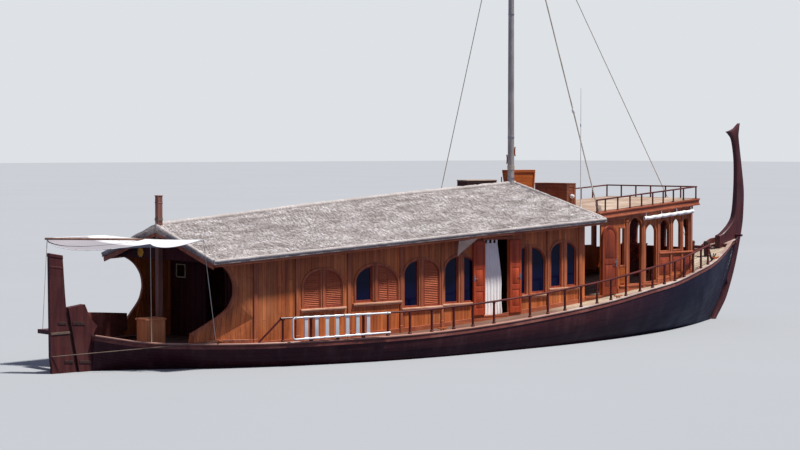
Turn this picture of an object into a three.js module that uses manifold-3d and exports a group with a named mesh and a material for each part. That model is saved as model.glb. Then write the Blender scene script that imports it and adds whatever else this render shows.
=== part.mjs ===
// Timber motor yacht of the dhoni type, afloat: +X to the bow, +Y to port, +Z up, millimetres.
// The origin is amidships on the centreline, at the level of the water.
import * as THREE from 'three';
import { mergeVertices } from 'three/addons/utils/BufferGeometryUtils.js';
import Module from 'manifold-3d';

const wasm = await Module();
wasm.setup();

// Fits
const GAP = 0.3;
const PIN_GAP = 0.7;

// Hull
const HALF_BEAM = 3300;
const WIDEST_X = -1000;
const RUN_LENGTH = 10250;
const ENTRY_LENGTH = 13900;
const KEEL_HALF = 90;
const HULL_X = [-10950, 12930];
const SIDE_POINTS = 9;
// x along the boat, z of the rail edge, z of the hull's lower edge on the centreline
const STATIONS = [
  { x: -10950, sheer: 880, keel: -100 },
  { x: -10500, sheer: 790, keel: -230 },
  { x: -10000, sheer: 700, keel: -360 },
  { x: -9000, sheer: 640, keel: -560 },
  { x: -7500, sheer: 610, keel: -770 },
  { x: -5500, sheer: 630, keel: -900 },
  { x: -3000, sheer: 670, keel: -980 },
  { x: -500, sheer: 780, keel: -1010 },
  { x: 2000, sheer: 960, keel: -1010 },
  { x: 4000, sheer: 1140, keel: -1010 },
  { x: 6000, sheer: 1360, keel: -1000 },
  { x: 7500, sheer: 1500, keel: -980 },
  { x: 9000, sheer: 1720, keel: -900 },
  { x: 10400, sheer: 1920, keel: -680 },
  { x: 11200, sheer: 2091, keel: -350 },
  { x: 11800, sheer: 2220, keel: 150 },
  { x: 12300, sheer: 2347, keel: 930 },
  { x: 12700, sheer: 2449, keel: 1640 },
  { x: 12930, sheer: 2508, keel: 2250 },
];
const PLANKSHEER = 150;
const DECK_DROP = 100;
const DECK_THICK = 50;
const BULWARK = 70;
const CAP_OUT = 30;
const CAP_THICK = 40;
const INNER_X = [-10500, 12300];

// Keel, posts and steering gear
const KEEL_BASE = -1280;
const POST_HALF = 100;
const STEM_SLOT = 12650;
const RUDDER_HALF = 50;
const RUDDER_RAKE = 0.19;
const CRACK = 35;
const SHAFT_Z = -720;
const SHAFT_R = 30;
const PROP_X = -10560;
const PROP_R = 340;

// Deck house
const WALL_Y = 2050;
const WALL = 60;
const HOUSE_X = [-7600, 4660];
const QUARTER_TOP = 2600;
const PASSAGE_X = [3990, 4660];
const FORE_X = [4660.3, 8890];
const FORE_Y = 1750;
const BULKHEAD_X = -7200;

// Roof
const EAVE_Y = 2420;
const ROOF_X = [-9030, 3300];
const ROOF_EAVE_X = 4500;
const EAVE_Z = [2660, 3360];
const ROOF_THICK = 170;
const EAVE_THICK = 90;
// x along the ridge, z of the ridge
const RIDGE = [
  { x: -9030, z: 3440 },
  { x: -4530, z: 3810 },
  { x: -1080, z: 4070 },
  { x: 3300, z: 4340 },
];

// Sun deck
const SUN_X = [3310, 9100];
const SUN_AFT_Y = 2130;
const SUN_FORE_Y = 1830;
const SUN_Z = 3525;
const SUN_SLOPE = 0.07;
const SUN_THICK = 195;
const SUN_RAIL = 375;
const END_BOARD = 45;

// Rig
const MAST_X = 3100;
const MAST_R = [105, 70];
const MAST_TOP = 13600;
const STAY_R = 12;

const C = {
  hull: 0x2a171b, timber: 0x6b2f1c, post: 0x5c2a22, deck: 0xa9937b, thatch: 0x9b9187, trim: 0x7a3a1e,
  cloth: 0xe9e4d8, white: 0xf2f1ee, metal: 0xc9ccd0, bronze: 0xa97c3f, spar: 0x6e5c4c, rope: 0xcfc6b4,
};

const group = new THREE.Group();

// Solids from geometries
function solid(geometry) {
  const g = geometry.clone();
  g.deleteAttribute('normal');
  g.deleteAttribute('uv');
  const m = mergeVertices(g, 1e-3);
  const p = m.attributes.position.array;
  const t = Uint32Array.from(m.index.array);
  let volume = 0;
  const a = new THREE.Vector3();
  const b = new THREE.Vector3();
  const c = new THREE.Vector3();
  for (let i = 0; i < t.length; i += 3) {
    a.fromArray(p, t[i] * 3);
    b.fromArray(p, t[i + 1] * 3);
    c.fromArray(p, t[i + 2] * 3);
    volume += a.dot(b.cross(c));
  }
  if (volume < 0) {
    for (let i = 0; i < t.length; i += 3) {
      const k = t[i + 1];
      t[i + 1] = t[i + 2];
      t[i + 2] = k;
    }
  }
  return new wasm.Manifold(new wasm.Mesh({ numProp: 3, vertProperties: Float32Array.from(p), triVerts: t }));
}

function node(name, body, color, roughness = 0.6, metalness = 0) {
  const m = body.getMesh();
  const g = new THREE.BufferGeometry();
  g.setAttribute('position', new THREE.BufferAttribute(Float32Array.from(m.vertProperties), 3));
  g.setIndex(new THREE.BufferAttribute(Uint32Array.from(m.triVerts), 1));
  g.computeVertexNormals();
  const mesh = new THREE.Mesh(g, new THREE.MeshStandardMaterial({ color, roughness, metalness }));
  mesh.name = name;
  group.add(mesh);
  return body;
}

function box(x0, x1, y0, y1, z0, z1) {
  const g = new THREE.BoxGeometry(x1 - x0, y1 - y0, z1 - z0);
  g.translate((x0 + x1) / 2, (y0 + y1) / 2, (z0 + z1) / 2);
  return solid(g);
}

function shapeOf(points) {
  return new THREE.Shape(points.map(([a, b]) => new THREE.Vector2(a, b)));
}

// A side view outline (x, z) given a width from y0 to y1
function sidePlate(points, y0, y1) {
  const g = new THREE.ExtrudeGeometry(shapeOf(points), { depth: y1 - y0, bevelEnabled: false });
  g.rotateX(Math.PI / 2);
  g.translate(0, y1, 0);
  return solid(g);
}

// An end view outline (y, z) given a length from x0 to x1
function endPlate(points, x0, x1) {
  const g = new THREE.ExtrudeGeometry(shapeOf(points), { depth: x1 - x0, bevelEnabled: false });
  const turn = new THREE.Matrix4().makeBasis(
    new THREE.Vector3(0, 1, 0), new THREE.Vector3(0, 0, 1), new THREE.Vector3(1, 0, 0));
  g.applyMatrix4(turn);
  g.translate(x0, 0, 0);
  return solid(g);
}

// A plan outline (x, y) given a height from z0 to z1
function planPlate(points, z0, z1) {
  const g = new THREE.ExtrudeGeometry(shapeOf(points), { depth: z1 - z0, bevelEnabled: false });
  g.translate(0, 0, z0);
  return solid(g);
}

function rod(p, q, r, sides = 12, r2 = r) {
  const a = new THREE.Vector3(...p);
  const b = new THREE.Vector3(...q);
  const d = b.clone().sub(a);
  const g = new THREE.CylinderGeometry(r2, r, d.length(), sides);
  g.applyQuaternion(new THREE.Quaternion().setFromUnitVectors(new THREE.Vector3(0, 1, 0), d.clone().normalize()));
  g.translate(...a.add(b).multiplyScalar(0.5).toArray());
  return solid(g);
}

// A skin over equal closed sections, each a list of [x, y, z], with both ends closed
function loft(sections, capAxes = [1, 2]) {
  const n = sections[0].length;
  const pos = sections.flat(2);
  const index = [];
  for (let s = 0; s < sections.length - 1; s += 1) {
    for (let i = 0; i < n; i += 1) {
      const a = s * n + i;
      const b = s * n + ((i + 1) % n);
      index.push(a, b, b + n, a, b + n, a + n);
    }
  }
  const ends = [[0, true], [sections.length - 1, false]];
  for (const [s, flip] of ends) {
    const flat = sections[s].map((p) => new THREE.Vector2(p[capAxes[0]], p[capAxes[1]]));
    const ccw = THREE.ShapeUtils.area(flat) > 0;
    for (const t of THREE.ShapeUtils.triangulateShape(flat, [])) {
      const along = (THREE.ShapeUtils.area(t.map((k) => flat[k])) > 0) === ccw;
      const tri = along !== flip ? t : [t[0], t[2], t[1]];
      index.push(...tri.map((k) => s * n + k));
    }
  }
  const g = new THREE.BufferGeometry();
  g.setAttribute('position', new THREE.BufferAttribute(Float32Array.from(pos), 3));
  g.setIndex(index);
  return solid(g);
}

function keepLargest(body) {
  return body.decompose().reduce((a, b) => (b.volume() > a.volume() ? b : a));
}

function mirrorY(body) {
  return body.mirror([0, 1, 0]);
}

function lerp(a, b, t) {
  return a + (b - a) * t;
}

function tableAt(rows, x, key) {
  if (x <= rows[0].x) return rows[0][key];
  for (let i = 1; i < rows.length; i += 1) {
    if (x <= rows[i].x) return lerp(rows[i - 1][key], rows[i][key], (x - rows[i - 1].x) / (rows[i].x - rows[i - 1].x));
  }
  return rows[rows.length - 1][key];
}

// Hull form
const sheerZ = (x) => tableAt(STATIONS, x, 'sheer');
const deckZ = (x) => sheerZ(x) - DECK_DROP;

function halfBeam(x) {
  const run = x < WIDEST_X;
  const t = Math.abs(x - WIDEST_X) / (run ? RUN_LENGTH : ENTRY_LENGTH);
  return HALF_BEAM * (1 - Math.min(1, t) ** (run ? 2.4 : 2.6));
}

function sideAt(station, z, grow = 0) {
  const b = Math.max(halfBeam(station.x), KEEL_HALF);
  const full = b / HALF_BEAM;
  const u = Math.max(0, Math.min(1, (z - station.keel) / (station.sheer - station.keel)));
  const p = 1 + 1.5 * full ** 0.9;
  const q = 0.85 + 1.15 * full ** 0.9;
  return KEEL_HALF + (b - KEEL_HALF) * (1 - (1 - u) ** p) ** (1 / q) + grow;
}

function hullSolid(grow) {
  const sections = STATIONS.map((st) => {
    const top = st.sheer - PLANKSHEER + grow;
    const side = [];
    for (let i = 0; i < SIDE_POINTS; i += 1) {
      const k = (i / (SIDE_POINTS - 1)) ** 1.4;
      const z = lerp(st.keel - grow, top, k);
      side.push([sideAt(st, z, grow), z]);
    }
    const shift = st === STATIONS[0] ? -grow : st === STATIONS[STATIONS.length - 1] ? grow : 0;
    const port = side.map(([y, z]) => [st.x + shift, y, z]);
    const stbd = side.map(([y, z]) => [st.x + shift, -y, z]).reverse();
    return [...stbd, ...port];
  });
  return loft(sections);
}

// A wide block under a line z(x), for cutting what stands on a deck or a rail
function under(zOf, extra = 0) {
  return loft(STATIONS.map((st) => [
    [st.x, -4500, -5000], [st.x, 4500, -5000], [st.x, 4500, zOf(st.x) + extra], [st.x, -4500, zOf(st.x) + extra],
  ]));
}

const hull = hullSolid(0);
const hullFit = hullSolid(GAP);
const belowDeck = under(deckZ, GAP);
const belowRail = under(sheerZ, GAP);
node('hull', hull, C.hull, 0.45);

// Bulwark and cap rail, one ring with a breasthook at each end
const INNER = STATIONS.filter((st) => st.x >= INNER_X[0] && st.x <= INNER_X[1]);
const innerHalf = (st) => sideAt(st, st.sheer - PLANKSHEER) - BULWARK;
function ringSolid(grow) {
  return loft(STATIONS.map((st) => {
    const mid = sideAt(st, st.sheer - CAP_THICK, grow);
    const low = sideAt(st, st.sheer - PLANKSHEER, grow);
    const cap = Math.max(halfBeam(st.x), mid) + CAP_OUT + grow;
    const z = [st.sheer + grow, st.sheer - CAP_THICK - grow, st.sheer - PLANKSHEER + GAP - grow];
    return [
      [st.x, -low, z[2]], [st.x, low, z[2]], [st.x, mid, z[1]], [st.x, cap, z[1]],
      [st.x, cap, z[0]], [st.x, -cap, z[0]], [st.x, -cap, z[1]], [st.x, -mid, z[1]],
    ];
  }));
}
function wellSolid(shrink) {
  return loft(INNER.map((st, i) => {
    const w = innerHalf(st) - shrink;
    const x = st.x + (i === 0 ? shrink : i === INNER.length - 1 ? -shrink : 0);
    return [
      [x, -w, st.sheer - 300], [x, w, st.sheer - 300], [x, w, st.sheer + 200], [x, -w, st.sheer + 200],
    ];
  }));
}
// The aft end of the port side has a raised board along the rail
function portBoardSolid(grow) {
  return loft([
    [-10800, 1380], [-10400, 1340], [-9600, 1260], [-8900, 1190],
  ].map(([x, z]) => {
    const y = halfBeam(x);
    return [
      [x, y - 50 - grow, sheerZ(x) - 20], [x, y - 10 + grow, sheerZ(x) - 20],
      [x, y - 10 + grow, z + grow], [x, y - 50 - grow, z + grow],
    ];
  }));
}
const portBoard = portBoardSolid(0);
const portBoardFit = portBoardSolid(GAP);
// and so has its fore end, beside the stem
const bowBoard = loft([
  [11950, 30], [12200, 170], [12640, 160],
].map(([x, rise]) => {
  const y = halfBeam(x);
  return [
    [x, y - 50, sheerZ(x) - 20], [x, y - 10, sheerZ(x) - 20], [x, y - 10, sheerZ(x) + rise], [x, y - 50, sheerZ(x) + rise],
  ];
}));
const gunwaleRaw = ringSolid(0).subtract(wellSolid(0)).add(portBoard).add(bowBoard);

function deckSolid(grow) {
  return loft(INNER.map((st, i) => {
    const w = innerHalf(st) - GAP + grow;
    const x = st.x + (i === 0 ? GAP - grow : i === INNER.length - 1 ? grow - GAP : 0);
    const z = [st.sheer - DECK_DROP - DECK_THICK + GAP - grow, st.sheer - DECK_DROP + grow];
    return [[x, -w, z[0]], [x, w, z[0]], [x, w, z[1]], [x, -w, z[1]]];
  }));
}
node('deck', deckSolid(0), C.deck, 0.7);

// Keel with deadwood and heel, cut to the hull
const rakeX = (z) => -11590 + RUDDER_RAKE * (1510 - z);
const shaftBore = rod([PROP_X - 400, 0, SHAFT_Z], [-9900, 0, SHAFT_Z], SHAFT_R + 0.9, 24);
const keel = sidePlate([
  [-11250, KEEL_BASE], [9500, KEEL_BASE], [10200, KEEL_BASE + 60], [10700, KEEL_BASE + 190], [10250, -500],
  [8500, -500], [-9000, -300], [-10350, 0], [-10350, -1160], [-11250, -1160],
], -KEEL_HALF, KEEL_HALF).subtract(hullFit).subtract(shaftBore);
node('keel', keel, C.post, 0.6);

// Stem post with its hooked head and the bar through it
const STEM = [
  [10700 + GAP, KEEL_BASE + 190], [11070, -930], [11420, -660], [11720, -330], [11960, 0], [12230, 330], [12480, 690],
  [12790, 1400], [13030, 2140],
  [13210, 2870], [13270, 3300], [13300, 4000], [13200, 4740], [13060, 5610], [13060, 5800], [13110, 6120],
  [13020, 6070], [12880, 5960], [12530, 5850], [12620, 5790], [12790, 5610], [12900, 5200], [12950, 4740],
  [12945, 4000], [12870, 3300], [12700, 2980], [12330, 2690], [12100, 2600], [12100, 2200], [12500, 1100],
  [11700, -200], [11250, -500], [10250 + GAP, -500],
];
const stemBar = box(12860, 12940, -340, 340, 2560, 2630);
const stemRaw = sidePlate(STEM, -POST_HALF, POST_HALF).add(stemBar);

// Gunwale trimmed to both posts
const stemFit = box(STEM_SLOT, 13500, -POST_HALF - GAP, POST_HALF + GAP, 2000, 3000);
const sternFit = sidePlate([
  [-11700, 0], [-10880, 0], [-10880, 850], [-10760 - GAP, 1080], [-11000, 1320], [-11700, 1700],
], -POST_HALF - GAP, POST_HALF + GAP);
const gunwale = node('gunwale', gunwaleRaw.subtract(stemFit).subtract(sternFit), C.trim, 0.5);
const aftOfSlot = box(-20000, STEM_SLOT + GAP, -5000, 5000, -5000, 9000);
const stem = stemRaw.subtract(hullFit).subtract(deckSolid(GAP))
  .subtract(ringSolid(GAP).subtract(wellSolid(GAP)).intersect(aftOfSlot));
node('stem_post', stem, C.post, 0.5);

// Stern post with its knee, step plank and gudgeons
const GUDGEONS = [1180, 250, -820];
const axisX = (z) => rakeX(z) - CRACK;
function aroundAxis(z, height, r, sides = 20) {
  return rod([axisX(z - height / 2), 0, z - height / 2], [axisX(z + height / 2), 0, z + height / 2], r, sides);
}
let stern = sidePlate([
  [rakeX(1550), 1550], [-11140, 1610], [-11090, 1500], [-11000, 1280], [-10790, 1080], [-10900, 900],
  [-10900, 0], [-10760, -400], [-10760, -1160 + GAP], [rakeX(-1160), -1160 + GAP],
], -POST_HALF, POST_HALF).subtract(hullFit);
stern = stern.add(box(-11470, -11180, POST_HALF - 20, 1520, 830, 930));
for (const z of GUDGEONS) {
  stern = stern.add(aroundAxis(z, 60, 44)).add(box(axisX(z), rakeX(z) + 30, -30, 30, z - 28, z + 28));
}
for (const z of GUDGEONS) stern = stern.subtract(aroundAxis(z, 120, 18 + PIN_GAP));
node('stern_post', stern, C.post, 0.6);

// Rudder, hung on the raked axis
const RUDDER = [
  [-12080, 2850], [-11720, 2790], [-11660, 1900], [axisX(1560) + 3, 1560], [axisX(-1110) + 3, -1110],
  [-11960, -1110], [-12060, -600], [-12020, 140], [-12060, 410],
];
let rudder = sidePlate(RUDDER, -RUDDER_HALF, RUDDER_HALF);
for (const z of GUDGEONS) rudder = rudder.subtract(aroundAxis(z, 84, 60)).add(aroundAxis(z, 104, 18, 14));
node('rudder', rudder, C.post, 0.5);

// Propeller with its shaft, turning in the deadwood
let propeller = rod([PROP_X - 110, 0, SHAFT_Z], [PROP_X + 110, 0, SHAFT_Z], 70, 20)
  .add(rod([PROP_X, 0, SHAFT_Z], [-9960, 0, SHAFT_Z], SHAFT_R, 24));
for (let i = 0; i < 4; i += 1) {
  const blade = new THREE.Shape();
  blade.moveTo(-45, 40);
  blade.bezierCurveTo(-130, 140, -150, 290, -40, PROP_R);
  blade.bezierCurveTo(60, PROP_R + 10, 150, 260, 45, 40);
  blade.closePath();
  const g = new THREE.ExtrudeGeometry(blade, { depth: 18, bevelEnabled: false, curveSegments: 6 });
  g.translate(0, 0, -9);
  g.rotateY(0.6);
  g.rotateX(Math.PI / 2);
  g.rotateX((i * Math.PI) / 2);
  g.translate(PROP_X, 0, SHAFT_Z);
  propeller = propeller.add(solid(g));
}
node('propeller', propeller, C.bronze, 0.35, 1);

// Roof of thatch, its fore end cut back to a shallow V
const eaveZ = (x) => lerp(EAVE_Z[0], EAVE_Z[1], (x - ROOF_X[0]) / (ROOF_EAVE_X - ROOF_X[0]));
function roofSection(ridgeX, eaveX, drop = 0, lift = 0) {
  const zr = tableAt(RIDGE, ridgeX, 'z');
  const ze = eaveZ(eaveX);
  const top = lift || 0;
  return [
    [eaveX, -EAVE_Y - drop, ze - EAVE_THICK - drop], [ridgeX, 0, zr - ROOF_THICK - drop],
    [eaveX, EAVE_Y + drop, ze - EAVE_THICK - drop], [eaveX, EAVE_Y + drop, ze + top],
    [ridgeX, 0, zr + top], [eaveX, -EAVE_Y - drop, ze + top],
  ];
}
function roofSolid(drop, lift, ends) {
  return loft([
    roofSection(ROOF_X[0] - ends, ROOF_X[0] - ends, drop, lift), roofSection(-4530, -4530, drop, lift),
    roofSection(-1080, -1080, drop, lift), roofSection(ROOF_X[1] + ends, ROOF_EAVE_X + ends, drop, lift),
  ]);
}
const roofFit = roofSolid(GAP, 3000, 0.5);
const mastBore = rod([MAST_X, 0, 500], [MAST_X, 0, 6000], MAST_R[0] + 1, 24);
const postBore = box(-9005 - GAP, -8875 + GAP, -65 - GAP, 65 + GAP, 400, 4300);
const roof = roofSolid(0, 0, 0).subtract(mastBore).subtract(postBore);
node('roof_thatch', roof, C.thatch, 0.95);

// Sun deck, rising to its fore end
const sunTop = (x) => SUN_Z + SUN_SLOPE * (x - ROOF_EAVE_X);
function sunSlab(below, above, side) {
  return loft([SUN_X[0], SUN_X[1] + side].map((x) => {
    const y = lerp(SUN_AFT_Y, SUN_FORE_Y, (x - ROOF_EAVE_X) / (SUN_X[1] - ROOF_EAVE_X)) + side;
    return [
      [x, -y, sunTop(x) - SUN_THICK - below], [x, y, sunTop(x) - SUN_THICK - below],
      [x, y, sunTop(x) + above], [x, -y, sunTop(x) + above],
    ];
  }));
}
const veeX = (y) => ROOF_X[1] + ((ROOF_EAVE_X - ROOF_X[1]) * y) / EAVE_Y;
const aftOfVee = planPlate([
  [-20000, -4000], [veeX(4000) + 0.5, -4000], [veeX(0) + 0.5, 0], [veeX(4000) + 0.5, 4000], [-20000, 4000],
], -1000, 9000);
// A board stands on the deck along the V and closes the end of the roof, with a gap for the mast case
const CASE_Y = [160, 460];
let endBoard = loft([-1980, 0, 1980].map((y) => {
  const x = veeX(Math.abs(y)) + 0.5;
  const top = lerp(tableAt(RIDGE, ROOF_X[1], 'z'), EAVE_Z[1], Math.abs(y) / EAVE_Y) - END_BOARD;
  return [[x, y, sunTop(x) - 60], [x + END_BOARD, y, sunTop(x) - 60], [x + END_BOARD, y, top], [x, y, top]];
}), [0, 2]);
endBoard = endBoard.subtract(box(3200, 4250, CASE_Y[0] - GAP, CASE_Y[1] + GAP, 3000, 4800));
const sunDeck = sunSlab(0, 0, 0).subtract(aftOfVee).add(endBoard);
const sunFit = sunSlab(GAP, 3000, 0.5).subtract(aftOfVee);
node('sun_deck', sunDeck, C.trim, 0.5);

// House walls with their windows and doorways
const KNUCKLE_R = 10;
function knuckles(x, heights, grow) {
  return heights
    .map((z) => rod([x, -WALL_Y, z - 40 - grow], [x, -WALL_Y, z + 40 + grow], KNUCKLE_R + grow, 16))
    .reduce((a, b) => a.add(b));
}
const CABIN_HINGES = [1100, 1870, 2640];
const PASSAGE_HINGES = [1420, 2120, 2760];
const hingeCuts = knuckles(130, CABIN_HINGES, PIN_GAP).add(knuckles(1030, CABIN_HINGES, PIN_GAP))
  .add(knuckles(4660, PASSAGE_HINGES, PIN_GAP));
function arch(x0, x1, z0, z1, kind) {
  const w = x1 - x0;
  const rise = kind === 'full' ? w / 2 : kind === 'flat' ? 0 : w * 0.75;
  const pts = [[x0, z0], [x1, z0]];
  const n = 6;
  if (kind === 'flat') return [...pts, [x1, z1], [x0, z1]];
  if (kind === 'full') {
    for (let i = 0; i <= 2 * n; i += 1) {
      const a = (i / (2 * n)) * Math.PI;
      pts.push([(x0 + x1) / 2 + Math.cos(a) * (w / 2), z1 - rise + Math.sin(a) * rise]);
    }
    return pts;
  }
  const quarter = [];
  for (let i = 0; i <= n; i += 1) {
    const a = (i / n) * (Math.PI / 2);
    quarter.push([Math.cos(a), Math.sin(a)]);
  }
  if (kind === 'fore') return [...pts, ...quarter.map(([c, s]) => [x0 + c * w, z1 - rise + s * rise])];
  return [...pts, ...quarter.reverse().map(([c, s]) => [x1 - c * w, z1 - rise + s * rise])];
}

// first and last x, sill z, head z, which top corner is rounded, open or louvred
const WINDOWS = [
  { x0: -6050, x1: -5510, z0: 1360, z1: 2300, kind: 'aft', open: false },
  { x0: -5340, x1: -4800, z0: 1360, z1: 2300, kind: 'fore', open: false },
  { x0: -4360, x1: -3810, z0: 1440, z1: 2340, kind: 'aft', open: true },
  { x0: -3610, x1: -2940, z0: 1420, z1: 2340, kind: 'fore', open: false },
  { x0: -2730, x1: -2230, z0: 1220, z1: 2440, kind: 'aft', open: true },
  { x0: -2050, x1: -1510, z0: 1220, z1: 2440, kind: 'fore', open: false },
  { x0: -1310, x1: -830, z0: 1250, z1: 2480, kind: 'aft', open: true },
  { x0: -630, x1: -150, z0: 1250, z1: 2480, kind: 'fore', open: true },
  { x0: 1210, x1: 1690, z0: 1350, z1: 2650, kind: 'aft', open: true },
  { x0: 1900, x1: 2420, z0: 1380, z1: 2650, kind: 'fore', open: true },
  { x0: 2640, x1: 3050, z0: 1490, z1: 2740, kind: 'aft', open: true },
  { x0: 3270, x1: 3630, z0: 1510, z1: 2740, kind: 'fore', open: true },
];
const DOORWAYS = [
  { x0: 130, x1: 1030, z0: 860, z1: 2880 },
  { x0: 3990, x1: 4700, z0: 1190, z1: 3180 },
];
const LOUVRE_RECESS = 25;
let wall = sidePlate([
  [HOUSE_X[0], 400], [HOUSE_X[1], 400], [HOUSE_X[1], 3600], [HOUSE_X[0], 3600],
], -WALL_Y, -WALL_Y + WALL);
for (const w of WINDOWS) {
  const inner = w.open ? -WALL_Y + WALL + 50 : -WALL_Y + LOUVRE_RECESS;
  wall = wall.subtract(sidePlate(arch(w.x0, w.x1, w.z0, w.z1, w.kind), -WALL_Y - 50, inner));
}
for (const d of DOORWAYS) wall = wall.subtract(box(d.x0, d.x1, -WALL_Y - 50, -WALL_Y + 200, d.z0, d.z1));
wall = wall.subtract(belowDeck).subtract(hingeCuts);
node('house_wall_stbd', wall.subtract(roofFit).subtract(sunFit), C.timber, 0.5);
node('house_wall_port', mirrorY(wall).subtract(roofFit).subtract(sunFit), C.timber, 0.5);

// Quarter panels, hollowed to a C at the aft edge and drawn in at the foot to stand on the gunwale
const QUARTER = [
  [-9050, 600], [-9050, 860], [-8780, 1050], [-8300, 1420], [-8140, 1700], [-8110, 1900],
  [-8160, 2150], [-8330, 2400], [-8560, 2560], [-8820, 2660], [-8820, 3200], [-8200, 3200],
  [HOUSE_X[0] - GAP, 3200], [HOUSE_X[0] - GAP, 2000], [HOUSE_X[0] - GAP, 1200], [HOUSE_X[0] - GAP, 600],
  [-8000, 600], [-8400, 600], [-8700, 600],
];
function quarterGeometry() {
  const g = new THREE.ExtrudeGeometry(shapeOf(QUARTER), { depth: WALL, bevelEnabled: false });
  g.rotateX(Math.PI / 2);
  g.translate(0, -WALL_Y + WALL, 0);
  const p = g.attributes.position;
  for (let i = 0; i < p.count; i += 1) {
    const x = p.getX(i);
    const h = Math.max(0, Math.min(1, (p.getZ(i) - sheerZ(x)) / (QUARTER_TOP - sheerZ(x))));
    p.setY(i, p.getY(i) + Math.max(0, WALL_Y + 30 - halfBeam(x)) * (1 - h));
  }
  return g;
}
const quarter = solid(quarterGeometry()).subtract(belowRail);
node('quarter_stbd', quarter.subtract(roofFit), C.timber, 0.5);
node('quarter_port', mirrorY(quarter).subtract(portBoardFit).subtract(roofFit), C.timber, 0.5);

// Fore walls, drawn square and then swung in to the narrower fore end
const FORE_TAPER = (WALL_Y - FORE_Y) / (FORE_X[1] - FORE_X[0]);
const swing = (side) => new THREE.Matrix4().set(
  1, 0, 0, 0,
  side * -FORE_TAPER, 1, 0, side * (WALL_Y + FORE_TAPER * FORE_X[0]) - side * WALL_Y,
  0, 0, 1, 0,
  0, 0, 0, 1);
// first and last x, sill z, head z, shape of the head
const FORE_OPENINGS = [
  { x0: 5500, x1: 5680, z0: 2000, z1: 3050, kind: 'flat' },
  { x0: 5910, x1: 6470, z0: 1450, z1: 3340, kind: 'full' },
  { x0: 6670, x1: 7140, z0: 1480, z1: 3130, kind: 'full' },
  { x0: 7340, x1: 7750, z0: 2350, z1: 3250, kind: 'full' },
  { x0: 7950, x1: 8300, z0: 2370, z1: 3260, kind: 'full' },
  { x0: 8440, x1: 8690, z0: 2300, z1: 3280, kind: 'full' },
];
function foreWallGeometry() {
  const s = shapeOf([[FORE_X[0], 400], [FORE_X[1], 400], [FORE_X[1], 4200], [FORE_X[0], 4200]]);
  for (const o of FORE_OPENINGS) {
    s.holes.push(new THREE.Path(arch(o.x0, o.x1, o.z0, o.z1, o.kind).map(([a, b]) => new THREE.Vector2(a, b))));
  }
  const g = new THREE.ExtrudeGeometry(s, { depth: WALL, bevelEnabled: false });
  g.rotateX(Math.PI / 2);
  g.translate(0, -WALL_Y + WALL, 0);
  g.applyMatrix4(swing(-1));
  return g;
}
const foreWall = solid(foreWallGeometry()).subtract(belowDeck).subtract(sunFit).subtract(hingeCuts);
node('fore_wall_stbd', foreWall, C.timber, 0.5);
node('fore_wall_port', mirrorY(foreWall), C.timber, 0.5);

// Bulkheads across the house
const INSIDE = WALL_Y - WALL - GAP;
let bulkAft = box(BULKHEAD_X - 25, BULKHEAD_X + 25, -INSIDE, INSIDE, 400, 4500)
  .subtract(box(BULKHEAD_X - 99, BULKHEAD_X + 99, -420, 420, 300, 2450))
  .subtract(box(BULKHEAD_X - 99, BULKHEAD_X + 99, 1330, 1690, 2040, 2340));
bulkAft = bulkAft.subtract(belowDeck).subtract(roofFit);
node('bulkhead_aft', bulkAft, C.timber, 0.55);
let bulkFore = box(3880, 3930, -INSIDE, INSIDE, 400, 4500)
  .subtract(box(3800, 3999, -420, 420, 300, 2900));
bulkFore = bulkFore.subtract(belowDeck).subtract(roofFit).subtract(sunFit);
node('bulkhead_fore', bulkFore, C.timber, 0.55);
const FRONT_HALF = FORE_Y - WALL - 2;
let front = box(8790, 8850, -FRONT_HALF, FRONT_HALF, 400, 4500);
for (const y of [-1150, 0, 1150]) {
  front = front.subtract(endPlate(arch(y - 400, y + 400, 2400, 3220, 'full'), 8700, 8900));
}
front = front.subtract(belowDeck).subtract(sunFit);
node('front_wall', front, C.timber, 0.5);

// Aft post and gable board
const aftPost = box(-9005, -8875, -65, 65, 0, 4160).subtract(belowDeck);
node('aft_post', aftPost, C.trim, 0.5);
const gable = endPlate([
  [-2250, 2600], [2250, 2600], [2250, 2750], [0, 3600], [-2250, 2750],
], -8875 + GAP, -8830).subtract(roofFit);
node('gable_board', gable, C.timber, 0.6);

// Doors, shown open and lying back along the walls
const LEAF = 40;
const LEAF_OFF = 5;
function leaf(x0, x1, z0, z1, rounded) {
  const outline = rounded ? arch(x0, x1, z0, z1, rounded) : arch(x0, x1, z0, z1, 'flat');
  return sidePlate(outline, -WALL_Y - LEAF_OFF - LEAF, -WALL_Y - LEAF_OFF);
}
const leafAft = leaf(-315, 125, 880, 2860).add(knuckles(130, CABIN_HINGES, 0));
const leafFore = leaf(1035, 1475, 880, 2860).add(knuckles(1030, CABIN_HINGES, 0));
node('cabin_door_aft_stbd', leafAft, C.trim, 0.5);
node('cabin_door_fore_stbd', leafFore, C.trim, 0.5);
node('cabin_door_aft_port', mirrorY(leafAft), C.trim, 0.5);
node('cabin_door_fore_port', mirrorY(leafFore), C.trim, 0.5);
function passageLeaf() {
  const s = shapeOf(arch(4665, 5325, 1200, 3160, 'full'));
  const g = new THREE.ExtrudeGeometry(s, { depth: LEAF, bevelEnabled: false });
  g.rotateX(Math.PI / 2);
  g.translate(0, -WALL_Y - LEAF_OFF, 0);
  g.applyMatrix4(swing(-1));
  return solid(g);
}
const pLeaf = passageLeaf().add(knuckles(4660, PASSAGE_HINGES, 0));
node('passage_door_stbd', pLeaf, C.trim, 0.45);
node('passage_door_port', mirrorY(pLeaf), C.trim, 0.45);

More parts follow.
